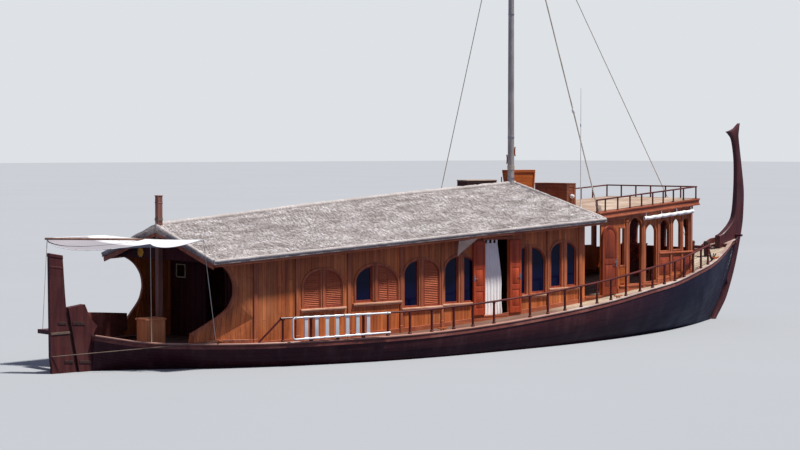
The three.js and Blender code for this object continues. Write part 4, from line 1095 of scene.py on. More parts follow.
def build_windows():
    """Casings round each pair, sashes, panes and louvred shutters on both sides."""
    casings, sills, sashes, slats, panes = Stock(), Stock(), Stock(), Stock(), Stock()
    for aft, fore in zip(WINDOWS[::2], WINDOWS[1::2]):
        sill = min(aft[2], fore[2])
        pair = [(aft[0], sill)] + arch(*fore[:5])[1:] + arch(*aft[:5])[2:]
        casings.casing(short_steps(pair), CASING, behind_doors, -0.002, CASING_OUT)
        mullion = rectangle(aft[1] + 0.004, fore[0] - 0.004, aft[2], aft[3] - 0.01)
        casings.plate(mullion, on_wall, -0.002, 0.016)
        middle = (aft[1] + fore[0]) / 2
        ridge = rectangle(middle - 0.022, middle + 0.022, aft[2], aft[3] + 0.05)
        casings.plate(ridge, on_wall, 0.014, 0.034)
        x0, x1 = sill_span(aft[0] - 0.10, fore[1] + 0.10)
        along_wall(sills, x0, x1, sill - 0.065, sill - 0.012, 0.062, ease=0.012, count=3)
        along_wall(sills, x0 + 0.03, x1 - 0.03, sill - 0.10, sill - 0.066, 0.034, ease=0.01, count=3)
    for window in WINDOWS:
        x0, x1, z0, z1, _, louvred = window
        outline = arch(*window[:5])
        inner = drawn_in(outline, SASH)
        if louvred:
            sashes.casing(inner, SASH - 0.001, on_wall, -0.024, 0.002)
            louvre(slats, window)
            if x1 - x0 > 0.6:
                middle = (x0 + x1) / 2
                stile = rectangle(middle - 0.02, middle + 0.02, z0 + 0.03, z1 - 0.10)
                sashes.plate(stile, on_wall, -0.02, 0.004)
        else:
            sashes.casing(inner, SASH - 0.001, on_wall, -0.052, -0.012)
            panes.plate(drawn_in(outline, 0.016), on_wall, -PANE_IN - 0.006, -PANE_IN, 0.001)
    piece("window_casings", casings.both(), UPRIGHT)
    piece("window_sills", sills.both(), PALE_TRIM)
    piece("window_sashes", sashes.both(), SASH_WOOD)
    piece("louvre_slats", slats.both(), LOUVRE_WOOD)
    piece("window_panes", panes.both(), GLASS)


def build_house_timber():
    """Uprights, wall plates, skirting, lintels and thresholds on both sides of the house."""
    uprights, rails = Stock(), Stock()
    for x, wide in UPRIGHTS:
        foot, top = deck_at(x) - 0.01, wall_top(x) - 0.13
        a, b = x - wide / 2, x + wide / 2
        uprights.plate(rectangle(a, b, foot, top), on_wall, -0.002, 0.034, 0.007)
        uprights.plate(rectangle(a - 0.012, b + 0.012, foot, foot + 0.20), on_wall, 0.0, 0.044, 0.008)
        uprights.plate(rectangle(a - 0.012, b + 0.012, top - 0.07, top), on_wall, 0.0, 0.044, 0.01)
    along_wall(rails, HOUSE_AFT, 4.40, moved(wall_top, -0.13), moved(wall_top, -0.004), 0.04, count=40)
    along_wall(rails, 4.45, 8.88, moved(wall_top, -0.085), moved(wall_top, -0.004), 0.035, count=20)
    along_wall(rails, HOUSE_AFT, 3.97, moved(deck_at, -0.01), moved(deck_at, 0.12), 0.022, count=40)
    along_wall(rails, 5.40, 8.88, moved(deck_at, -0.01), moved(deck_at, 0.15), 0.022, count=20)
    for (x0, x1, z0, z1), lintel_end in ((DOORWAY, DOORWAY[1] + 0.10), (PASSAGE, DOOR_LIES[2][0])):
        along_wall(rails, x0 - 0.10, lintel_end, z1 + 0.006, z1 + 0.075, 0.045, count=4)
        along_wall(rails, x0 + 0.01, x1 - 0.05, z0 - 0.05, z0 - 0.004, 0.03, inner=-0.055, count=4)
    along_wall(rails, 7.29, 8.88, 2.255, 2.305, 0.055, ease=0.012, count=6)
    along_wall(rails, 5.46, 7.20, 1.375, 1.425, 0.05, ease=0.012, count=6)
    piece("house_uprights", uprights.both(), UPRIGHT)
    piece("house_rails", rails.both(), LEVEL)
    casings, panels = Stock(), Stock()
    for opening in FORE_OPENINGS:
        for place in (on_wall, inside_wall):
            casings.casing(arch(*opening), 0.045, place, -0.002, 0.02)
    for x0, x1 in FORE_PANELS:
        foot = deck_at(x1)
        panels.plate(rectangle(x0 - 0.02, x1 + 0.02, foot + 0.22, 2.17), on_wall, -0.002, 0.014, 0.012)
        panels.plate(rectangle(x0 + 0.05, x1 - 0.05, foot + 0.29, 2.10), on_wall, 0.012, 0.024, 0.010)
    side_panel = Stock().plate(rectangle(5.485, 5.70, 1.47, 1.93), on_wall, -0.002, 0.016, 0.01)
    piece("passage_side_panels", side_panel.both(), BOX_WOOD)
    piece("fore_wall_casings", casings.both(), UPRIGHT)
    piece("fore_wall_panels", panels.both(), SASH_WOOD)


def on_front(y, z, out):
    return (8.85 + out, y, z)


def on_bulkhead(y, z, out):
    return (-7.225 - out, y, z)


def build_end_walls():
    """Casings and panels of the wall over the foredeck, and of the wall that closes the house aft."""
    front, aft, pale = Stock(), Stock(), Stock()
    for y in (-1.15, 0.0, 1.15):
        front.casing(arch(y - 0.4, y + 0.4, 2.4, 3.22, "full"), 0.05, on_front, -0.002, 0.022)
        front.plate(rectangle(y - 0.36, y + 0.36, 1.82, 2.27), on_front, -0.002, 0.016, 0.012)
        front.plate(rectangle(y - 0.28, y + 0.28, 1.90, 2.19), on_front, 0.014, 0.028, 0.010)
    for y in (-1.62, -0.575, 0.575, 1.62):
        front.plate(rectangle(y - 0.05, y + 0.05, 1.62, 3.46), on_front, -0.002, 0.034, 0.007)
    front.plate(rectangle(-1.66, 1.66, 2.30, 2.36), on_front, -0.002, 0.055, 0.012)
    front.plate(rectangle(-1.66, 1.66, 3.46, 3.56), on_front, -0.002, 0.04, 0.008)
    piece("front_wall_trim", front, ACROSS)
    aft.casing(rectangle(-0.42, 0.42, 0.52, 2.45), 0.07, on_bulkhead, -0.002, 0.024)
    # the panels beside the door; the last is lower, under the small window
    for y0, y1, top in ((-1.20, -0.58, 2.36), (-1.90, -1.28, 2.36), (0.58, 1.20, 2.36), (1.28, 1.90, 1.94)):
        for low, high in ((0.66, 1.40), (1.56, top)):
            aft.casing(rectangle(y0 + 0.05, y1 - 0.05, low, high), 0.045, on_bulkhead, -0.002, 0.014)
    pale.casing(rectangle(1.33, 1.69, 2.04, 2.34), 0.024, on_bulkhead, -0.002, 0.022)
    piece("bulkhead_trim", aft, DARK_HOUSE)
    piece("bulkhead_window_frame", pale, CREAM_PAINT)


# x and height down the hollow edge of the quarter panels
QUARTER_EDGE = [
    (-8.82, 2.66), (-8.56, 2.56), (-8.33, 2.40), (-8.16, 2.15), (-8.11, 1.90), (-8.14, 1.70), (-8.30, 1.42),
    (-8.78, 1.05), (-9.05, 0.86),
]
# the moulding's section, aft of the edge and out from the panel
QUARTER_SECTION = [
    (0.016, -0.070), (0.022, -0.03), (0.016, 0.012), (0.0, 0.020), (-0.052, 0.018), (-0.060, 0.008),
    (-0.060, -0.002), (0.002, -0.002), (0.002, -0.060), (-0.004, -0.070),
]


def on_quarter(x, z, out):
    """A point on the starboard quarter panel, which draws in at its foot to stand on the gunwale."""
    rise = min(max((z - sheer_at(x)) / (2.6 - sheer_at(x)), 0), 1)
    return (x, -WALL_Y - out + max(0.0, WALL_Y + 0.03 - half_beam(x)) * (1 - rise), z)


def build_quarter_edges():
    """A rounded moulding that follows the hollow edge, and a skirting along the panel's foot."""
    line = fair(QUARTER_EDGE, 5)
    rings = []
    for k, (x, z) in enumerate(line):
        before, after = line[max(k - 1, 0)], line[min(k + 1, len(line) - 1)]
        along = Vector((after[0] - before[0], after[1] - before[1])).normalized()
        aft = Vector((along.y, -along.x))
        rings.append([on_quarter(x + aft.x * reach, z + aft.y * reach, out)
                      for reach, out in QUARTER_SECTION])
    edge = Stock().skin(rings)
    along_wall(edge, -8.7, HOUSE_AFT - 0.01, moved(sheer_at, 0.003), moved(sheer_at, 0.09), 0.018,
               place=on_quarter)
    piece("quarter_mouldings", edge.both(), UPRIGHT)


STILE = 0.07
CABIN_LEVELS = (0.885, 1.05, 1.52, 1.64, 2.12, 2.22, 2.74, 2.855)
CABIN_HANDLE_Z = 1.86
PASSAGE_LEAF = (4.665, 5.325, 1.20, 3.16)
PASSAGE_HANDLE_Z = 2.12


def on_leaf(stock, outline, proud=0.008, ease=0.004):
    """A raised part of an open door leaf."""
    stock.plate(outline, on_wall, LEAF_FACE - 0.001, LEAF_FACE + proud, ease)


def handle(stock, points, radius):
    """A bent bar; its points are x, height and how far they stand off the leaf's face."""
    stock.tube([on_wall(x, z, LEAF_FACE + off) for x, z, off in points], radius)


def hang_leaves(door, wood, iron, material):
    """Makes the joinery and the handle of a leaf, starboard and then port, each riding on its leaf."""
    for side, word in (("s", "stbd"), ("p", "port")):
        if side == "p":
            wood.across()
            iron.across()
        piece(f"{door}_{word}_panels", wood, material, f"{door}_{side}")
        piece(f"{door}_{word}_handle", iron, STEEL, f"{door}_{side}")


def build_cabin_leaf(door, x0, x1, free, inward):
    """Stiles, rails and three raised panels; free is where the handle stands, by the leaf's loose edge."""
    wood, iron = Stock(), Stock()
    for a, b in ((x0, x0 + STILE), (x1 - STILE, x1)):
        on_leaf(wood, rectangle(a, b, CABIN_LEVELS[0], CABIN_LEVELS[-1]), 0.009)
    a, b = x0 + STILE, x1 - STILE
    for low, high in zip(CABIN_LEVELS[::2], CABIN_LEVELS[1::2]):
        on_leaf(wood, rectangle(a, b, low, high))
    for low, high in zip(CABIN_LEVELS[1:-1:2], CABIN_LEVELS[2::2]):
        on_leaf(wood, rectangle(a + 0.03, b - 0.03, low + 0.03, high - 0.03), 0.007, 0.006)
    z = CABIN_HANDLE_Z
    iron.plate(rectangle(free - 0.018, free + 0.018, z - 0.08, z + 0.08), on_wall,
               LEAF_FACE + 0.008, LEAF_FACE + 0.012, 0.001)
    handle(iron, [(free, z, 0.008), (free, z, 0.022), (free + inward * 0.012, z, 0.027),
                  (free + inward * 0.11, z, 0.026)], 0.0065)
    hang_leaves(door, wood, iron, DOOR)


def build_doors():
    """Framed panels and handles on the doors, as they lie open."""
    build_cabin_leaf("cabin_door_aft", -0.31, 0.12, -0.31 + 0.035, 1)
    build_cabin_leaf("cabin_door_fore", 1.04, 1.47, 1.47 - 0.035, -1)
    x0, x1, z0, z1 = PASSAGE_LEAF
    wood, iron = Stock(), Stock()
    on_frame = drawn_in(arch(x0, x1, z0, z1, "full", 12), 0.085)
    wood.casing(on_frame, 0.082, on_wall, LEAF_FACE - 0.001, LEAF_FACE + 0.010)
    for low, high in ((1.28, 1.40), (2.06, 2.18)):
        on_leaf(wood, rectangle(x0 + 0.08, x1 - 0.08, low, high), 0.009)
    on_leaf(wood, rectangle(x0 + 0.13, x1 - 0.13, 1.44, 2.02), 0.008, 0.006)
    head = arch(x0 + 0.085, x1 - 0.085, 2.19, z1 - 0.085, "full", 12)
    on_leaf(wood, drawn_in(head, 0.045), 0.008, 0.006)
    free, z = x1 - 0.045, PASSAGE_HANDLE_Z
    iron.plate(rectangle(free - 0.02, free + 0.02, 1.98, 2.20), on_wall, LEAF_FACE + 0.009,
               LEAF_FACE + 0.013, 0.001)
    handle(iron, [(free, z, 0.01), (free, z, 0.055), (free - 0.02, z, 0.06), (free - 0.13, z - 0.005, 0.057)],
           0.009)
    hang_leaves("passage_door", wood, iron, DARK_DOOR)


build_windows()
build_house_timber()
build_end_walls()
build_quarter_edges()
build_doors()

# The rails, the ladder and the sun deck

RAIL_POSTS = [
    -6.94, -6.25, -5.55, -4.86, -4.16, -3.50, -2.81, -2.09, -1.43, -0.68, 0.65, 1.34, 2.02, 2.69, 3.38, 4.01,
    4.72, 5.43, 6.10, 6.78, 7.42, 8.02, 8.66, 9.27, 9.87,
]
RAIL_SPAN, RAIL_HIGH, RAIL_FOOT_X = (-7.0, 10.0), 0.60, -7.52
RAIL_SECTION = [(-0.032, -0.045), (0.032, -0.045), (0.035, -0.034), (0.035, -0.014),
                (0.022, 0.0), (-0.022, 0.0), (-0.035, -0.014), (-0.035, -0.034)]


def post(stock, x, y, low, high, wide, deep, ease=0.004):
    """An upright squared timber, deep along the boat."""
    stock.bar((x, y, low), (x, y, high), wide, deep, up=(1, 0, 0), ease=ease)


def build_handrails():
    """A rounded rail on squared posts, with a raking stay at its aft end."""
    for side in ("stbd", "port"):
        rings = []
        for x in steps(*RAIL_SPAN, 70):
            y, z = -rail_y(x), sheer_at(x) + RAIL_HIGH
            rings.append([(x, y + across, z + rise) for across, rise in RAIL_SECTION])
        stock = Stock().skin(rings)
        for x in RAIL_POSTS:
            y, foot = -rail_y(x), sheer_at(x)
            top = foot + RAIL_HIGH
            post(stock, x, y, foot + 0.001, top - 0.04, 0.05, 0.056, 0.007)
            post(stock, x, y, foot + 0.001, foot + 0.045, 0.072, 0.082, 0.01)
            post(stock, x, y, top - 0.075, top - 0.044, 0.06, 0.07)
        aft = RAIL_SPAN[0]
        head = (aft + 0.02, -rail_y(aft), sheer_at(aft) + RAIL_HIGH - 0.03)
        foot = (RAIL_FOOT_X, -rail_y(RAIL_FOOT_X), sheer_at(RAIL_FOOT_X) + 0.002)
        stock.bar(head, foot, 0.045, 0.045, ease=0.008)
        if side == "port":
            stock.across()
        rail = "handrail_" + side
        piece("handrail_timber_" + side, stock, RAIL_WOOD, stands_for=[rail])


LADDER_FOOT, LADDER_RUN = (-6.77, -2.563), (2.58, -0.65)
LADDER_LOW, LADDER_HIGH, LADDER_R = 0.67, 1.20, 0.022
LOW_RISE, HIGH_RISE, LADDER_TURN = 0.07, 0.03, 0.075
TREADS = [0.135, 0.24, 0.345, 0.45, 0.555, 0.66, 0.77]


def build_ladder():
    """A tube frame with rounded corners at its aft end and flat treads, stowed outside the rail."""
    (foot_x, foot_y), (run_x, run_y) = LADDER_FOOT, LADDER_RUN
    length = math.hypot(run_x, run_y)
    out = (run_y / length, -run_x / length)
    reach = max((x - foot_x) * out[0] + (-rail_y(x) - 0.035 - foot_y) * out[1] for x in RAIL_POSTS)
    off = reach + LADDER_R + 0.0003

    def at(t, z):
        return (foot_x + run_x * t + out[0] * off, foot_y + run_y * t + out[1] * off, z)

    bend = LADDER_TURN / length
    corner = [(bend * (1 - math.sin(a)), LADDER_TURN * (1 - math.cos(a))) for a in steps(0, math.pi / 2, 5)]
    path = [at(1, LADDER_HIGH + HIGH_RISE)] + [at(t, LADDER_HIGH - drop) for t, drop in corner]
    path += [at(t, LADDER_LOW + drop) for t, drop in corner[::-1]] + [at(1, LADDER_LOW + LOW_RISE)]
    frame_tube = Stock().tube(path, LADDER_R, 12)
    for t in TREADS:
        low, high = LADDER_LOW + LOW_RISE * t, LADDER_HIGH + HIGH_RISE * t
        frame_tube.bar(at(t, low), at(t, high), 0.018, 0.096, up=(run_x, run_y, 0), ease=0.006)
        for z in (low, high):
            frame_tube.bar(at(t - 0.032, z), at(t + 0.032, z), 0.05, 0.05, ease=0.01)
    piece("boarding_ladder_frame", frame_tube, ALLOY, stands_for=["boarding_ladder"])
    ties = Stock()
    for t in (0.03, 0.52, 0.97):
        x, y, z = at(t, LADDER_HIGH + HIGH_RISE * t)
        rail_out, rail_z = -rail_y(x), sheer_at(x) + RAIL_HIGH - 0.022
        turn = [(y - 0.032, z - 0.01), (y - 0.01, z - 0.034), (rail_out + 0.03, rail_z - 0.03),
                (rail_out + 0.042, rail_z), (rail_out + 0.02, rail_z + 0.028), (y - 0.012, z + 0.032),
                (y - 0.032, z - 0.006)]
        for shift in (-0.012, 0.0, 0.012):
            ties.tube([(x + shift, p, q) for p, q in turn], 0.006, 6)
    piece("ladder_lashings", ties, ROPE)


SUN_FORE, SUN_EDGE, SUN_RAIL, SUN_RAIL_IN = 9.10, (2.13, 1.83), 0.375, 0.04
SUN_POSTS = [4.43, 4.80, 5.35, 5.90, 6.43, 6.94, 7.43, 7.91, 8.39, 8.99]
SUN_PLANK, SUN_GAP, SUN_PLANK_ROWS = 0.098, 0.007, 17
# lower and upper edge below the deck's top, and how far the moulding stands out
SUN_MOULDINGS = [(-0.195, -0.155, 0.024), (-0.158, -0.140, 0.012), (-0.042, 0.004, 0.026),
                 (-0.058, -0.040, 0.012)]


def sun_edge(x):
    return lerp(SUN_EDGE[0], SUN_EDGE[1], (x - ROOF_EAVE_X) / (SUN_FORE - ROOF_EAVE_X))


def on_fascia(x, z, out):
    return (x, -sun_edge(x) - out, z)


def vee_x(y):
    """Where the sun deck meets the slanting end of the thatch."""
    return ROOF_PEAK + (ROOF_EAVE_X - ROOF_PEAK) * abs(y) / EAVE_Y


def build_sun_deck():
    """Deck planks, edge mouldings, and the low rail on its posts."""
    planks = Stock()
    half = SUN_PLANK / 2
    for k in range(-SUN_PLANK_ROWS, SUN_PLANK_ROWS + 1):
        y = k * (SUN_PLANK + SUN_GAP)
        far = SUN_FORE - 0.03
        if abs(y) + half > sun_edge(far) - 0.02:
            share = (SUN_EDGE[0] - 0.02 - half - abs(y)) / (SUN_EDGE[0] - SUN_EDGE[1])
            far = lerp(ROOF_EAVE_X, SUN_FORE, share)
        near = vee_x(abs(y) + half) + 0.062
        if far - near >= 0.3:
            ends = [(x, y, sun_top(x) + 0.006) for x in (near, far)]
            planks.bar(*ends, SUN_PLANK, 0.016, ease=0.003)
    piece("sun_deck_planks", planks, PALE_DECK)
    trim = Stock()
    for low, high, out in SUN_MOULDINGS:
        along_wall(trim, ROOF_EAVE_X - 0.02, SUN_FORE - 0.001, moved(sun_top, low), moved(sun_top, high), out,
                   ease=0.007, place=on_fascia, count=8)
    trim.both()
    top = sun_top(SUN_FORE)
    for low, high, out in SUN_MOULDINGS[::2]:
        trim.plate(rectangle(-1.85, 1.85, top + low, top + high), lambda y, z, w: (SUN_FORE + w, y, z),
                   -0.001, out, 0.007)
    piece("sun_deck_mouldings", trim, LEVEL)
    rail = Stock()
    for side in (-1, 1):
        ends = [(x, side * (sun_edge(x) - SUN_RAIL_IN), sun_top(x) + SUN_RAIL - 0.02) for x in (4.40, 9.03)]
        rail.bar(*ends, 0.05, 0.04, ease=0.009)
        for x in SUN_POSTS:
            y, foot = side * (sun_edge(x) - SUN_RAIL_IN), sun_top(x)
            post(rail, x, y, foot + 0.001, foot + SUN_RAIL - 0.03, 0.038, 0.038, 0.006)
            post(rail, x, y, foot + 0.001, foot + 0.03, 0.056, 0.056, 0.008)
    x, top = 8.995, sun_top(9.0) + SUN_RAIL
    end_y = sun_edge(9.0) - SUN_RAIL_IN
    rail.bar((x, -end_y, top - 0.02), (x, end_y, top - 0.02), 0.05, 0.04, ease=0.009)
    for y in (-1.2, -0.6, 0, 0.6, 1.2):
        post(rail, x, y, sun_top(x) + 0.001, top - 0.03, 0.038, 0.038, 0.006)
    piece("sun_deck_handrail", rail, RAIL_WOOD, stands_for=["sun_deck_rail"])


def framed_box(stock, low, high, wide, out=0.012, foot=None):
    """Corner boards and rails on the four sides of a box, which may stand on a slope."""
    foot = foot or (lambda x, y: low[2])
    x0, y0, _ = low
    x1, y1, z1 = high
    sides = [
        (x0, x1, lambda u, z, w: (u, y0 - w, z), lambda u: foot(u, y0)),
        (x0, x1, lambda u, z, w: (u, y1 + w, z), lambda u: foot(u, y1)),
        (y0, y1, lambda u, z, w: (x0 - w, u, z), lambda u: foot(x0, u)),
        (y0, y1, lambda u, z, w: (x1 + w, u, z), lambda u: foot(x1, u)),
    ]
    top = z1 - 0.002
    for a, b, place, base in sides:
        for p, q in ((a - out, a + wide), (b - wide, b + out)):
            stock.plate([(p, base(p)), (q, base(q)), (q, top), (p, top)], place, -0.002, out)
        for low_a, low_b in ((base(a) + 0.004, base(b) + 0.004), (z1 - wide, z1 - wide)):
            deep = wide * 0.98
            rail = [(a, low_a), (b, low_b), (b, low_b + deep), (a, low_a + deep)]
            stock.plate(rail, place, -0.002, out * 0.8)
    return stock


def thatch_z(x, y):
    """The height of the thatch under a point of the deck plan."""
    v = abs(y) / EAVE_Y
    share = (x - ROOF_AFT) / (lerp(ROOF_PEAK, ROOF_EAVE_X, v) - ROOF_AFT)
    eave_x, ridge_x = lerp(ROOF_AFT, ROOF_EAVE_X, share), lerp(ROOF_AFT, ROOF_PEAK, share)
    return lerp(ridge_z(ridge_x), eave_z(eave_x), v) + 0.002


def above(level):
    """A flat lying plate's place: the third number is its height over a level."""
    return lambda x, y, w: (x, y, level + w)


CASE_TOP = 4.688
# the x of the mast case's corner posts at their top, their lean, and their foot where the thatch carries it
CASE_POSTS = [(3.24, 0.0536, 4.36), (4.19, -0.0772, None)]
# the four boards round the locker's lid
LID_BOARDS = [(4.70, 5.08, -0.64, -0.56), (4.70, 5.08, 0.56, 0.64), (4.70, 4.77, -0.57, 0.57),
              (5.01, 5.08, -0.57, 0.57)]
LAMP_PROFILE = [(0, 0.06), (0.015, 0.065), (0.03, 0.06), (0.075, 0.05), (0.10, 0.03), (0.108, 0.0)]


def build_roof_boxes():
    """The joinery of the hatch, the mast case and the locker with its lid."""
    hatch = framed_box(Stock(), (1.60, 0.23, 3.9), (2.74, 0.60, 4.42), 0.07, foot=thatch_z)
    piece("roof_hatch_joinery", hatch, HATCH_WOOD)
    lid = Stock().bar((1.575, 0.415, 4.429), (2.765, 0.415, 4.429), 0.42, 0.03, ease=0.008)
    piece("roof_hatch_lid", lid, PALE_DECK)
    case = Stock()
    for x, lean, foot_z in CASE_POSTS:
        foot_x = x + lean * 1.18
        foot_z = foot_z or sun_top(foot_x) + 0.05
        for y in (0.16, 0.46):
            case.bar((foot_x, y, foot_z), (x, y, CASE_TOP), 0.05, 0.05, up=(0, 1, 0))
    for z in (4.665, 4.20):
        aft, fore = 3.26 + (4.69 - z) * 0.054, 4.17 - (4.69 - z) * 0.078
        for y in (0.148, 0.472):
            case.bar((aft, y, z), (fore, y, z), 0.03, 0.045)
    case.bar((3.215, 0.31, 4.70), (4.215, 0.31, 4.70), 0.36, 0.028, ease=0.008)
    piece("mast_case_joinery", case, BOX_WOOD)
    locker = framed_box(Stock(), (4.71, -0.63, 3.56), (5.07, 0.63, 4.288), 0.075,
                        foot=lambda x, y: sun_top(x) + 0.014)
    for y in (-0.21, 0.21):
        locker.plate(rectangle(y - 0.035, y + 0.035, 3.60, 4.286), lambda u, z, w: (4.71 - w, u, z),
                     -0.002, 0.011)
    piece("deck_locker_joinery", locker, DARK_BOX_WOOD)
    lid = Stock()
    for board in LID_BOARDS:
        lid.plate(rectangle(*board), above(4.32), -0.001, 0.010)
    piece("deck_locker_lid_frame", lid, DARK_BOX_WOOD, "locker_lid")
    lamp = Stock().turning(LAMP_PROFILE, (4.90, -0.644, 3.95), up=(0, -1, 0), sides=18)
    piece("locker_lamp", lamp, WHITE_PAINT)


build_handrails()
build_ladder()
build_sun_deck()
build_roof_boxes()

# Rig and gear

MAST_X, MAST_TOP = 3.10, 13.60
MAST_FOOT_R, MAST_HEAD_R = 0.105, 0.070
# height and width of each band
MAST_BANDS = [(4.45, 0.05), (5.62, 0.035), (9.1, 0.035), (13.28, 0.07), (13.5, 0.05)]
RUDDER_RAKE, RUDDER_CRACK = 0.19, 0.035
GUDGEONS = (1.18, 0.25, -0.82)
RIVET = [(0, 0.015), (0.006, 0.013), (0.009, 0.004)]
STAY_HEAD, STAY_FOOT = Vector((MAST_X, 0, 13.4)), Vector((4.59, -2.085, 3.3))
SHROUD_HEAD, SHROUD_FOOT = Vector((MAST_X, 0, 13.44)), Vector((2.4, 3.2, 0.93))
ANTENNA_X, ANTENNA_Y = 5.2, -0.72


def mast_radius(z):
    return lerp(MAST_FOOT_R, MAST_HEAD_R, z / MAST_TOP)


def hoop(x, y, z, radius, count, tilt=0.0):
    """The points of a level ring of rope, closed on itself and slightly tilted."""
    return [(x + math.cos(a) * radius, y + math.sin(a) * radius, z + tilt * math.sin(a))
            for a in steps(0, 2 * math.pi, count)]


def build_mast():
    """A round tapered mast with bands, two cleats and a lashing."""
    foot = deck_at(MAST_X) + 0.001
    profile = [(z - foot, mast_radius(z)) for z in steps(foot, MAST_TOP - 0.04, 18)]
    profile += [(MAST_TOP - foot - 0.01, 0.05), (MAST_TOP - foot, 0.02)]
    spar = Stock().turning(profile, (MAST_X, 0, foot), sides=28)
    piece("mast_spar", spar, MAST_WOOD, stands_for=["mast"])
    bands = Stock()
    for z, tall in MAST_BANDS:
        radius = mast_radius(z) + 0.007
        band = [(0, radius - 0.006), (0.004, radius), (tall - 0.004, radius), (tall, radius - 0.006)]
        bands.turning(band, (MAST_X, 0, z), sides=28)
    piece("mast_bands", bands, STEEL)
    cleats = Stock()
    for z, turn in ((5.24, -0.9), (5.02, 2.2)):
        ahead = Vector((math.cos(turn), math.sin(turn), 0))
        centre = Vector((MAST_X, 0, z)) + ahead * (mast_radius(z) + 0.028)
        horns = [centre + Vector((0, 0, rise)) - ahead * sunk
                 for rise, sunk in ((-0.13, 0.0), (-0.06, 0.012), (0.06, 0.012), (0.13, 0.0))]
        cleats.tube(horns, 0.018, 8)
        cleats.bar(centre - ahead * 0.04, centre, 0.05, 0.11)
    piece("mast_cleats", cleats, BOX_WOOD)
    coils = Stock()
    for k in range(7):
        z = 4.74 + k * 0.017
        coils.tube(hoop(MAST_X, 0, z, mast_radius(z) + 0.006, 25, 0.004), 0.0085, 6)
    piece("mast_lashing", coils, ROPE)


def build_stay_fittings():
    """Blocks, lanyards and seizings at the ends of the stays, and the foot of the antenna."""
    blocks, lines = Stock(), Stock()
    along = (STAY_FOOT - STAY_HEAD).normalized()
    for t, size in ((0.695, 0.07), (0.955, 0.05)):
        shell = [(-size, 0.012), (-size * 0.8, 0.034), (0, 0.045), (size * 0.8, 0.034), (size, 0.012)]
        blocks.turning(shell, STAY_HEAD.lerp(STAY_FOOT, t), along, 12)
    for k, shift in enumerate((-0.035, -0.012, 0.012, 0.035)):
        top = STAY_HEAD.lerp(STAY_FOOT, 0.955) + Vector((shift * 0.4, 0, -0.03))
        foot = (4.60 + shift * 1.6, -2.07, sun_top(4.6) + 0.01)
        lines.tube([top, (4.59 + shift, -2.03 - 0.01 * k, 3.72), foot], 0.008, 6)
    for radius, z in ((0.03, 3.60), (0.034, 3.64), (0.031, 3.68)):
        lines.tube(hoop(4.595, -2.055, z, radius, 13), 0.008, 6)
    up = (SHROUD_HEAD - SHROUD_FOOT).normalized()
    for k in range(6):
        centre = SHROUD_FOOT + up * (0.10 + 0.014 * k)
        lines.turning([(-0.007, 0.014), (0, 0.021), (0.007, 0.014)], centre, up, 10)
    piece("stay_blocks", blocks, WHITE_PAINT)
    piece("stay_lanyards", lines, ROPE)
    socket = [(0, 0.05), (0.012, 0.05), (0.02, 0.032), (0.10, 0.024), (0.13, 0.018)]
    cap = [(-0.06, 0.0001), (-0.055, 0.016), (0.0, 0.020), (0.05, 0.016), (0.06, 0.006)]
    base = Stock().turning(socket, (ANTENNA_X, ANTENNA_Y, sun_top(ANTENNA_X) + 0.014))
    base.turning(cap, (ANTENNA_X, ANTENNA_Y, 6.0))
    piece("antenna_base", base, WHITE_PAINT)


def rudder_axis(z):
    return -11.59 + RUDDER_RAKE * (1.51 - z) - RUDDER_CRACK


# x and height of the outlines of the rudder head's cap and the band under it, and half their width
RUDDER_HEAD = [
    ([(-12.095, 2.78), (-11.705, 2.715), (-11.715, 2.80), (-12.085, 2.865)], 0.062, 0.012),
    ([(-12.07, 2.52), (-11.70, 2.47), (-11.695, 2.515), (-12.07, 2.565)], 0.056, 0.006),
]


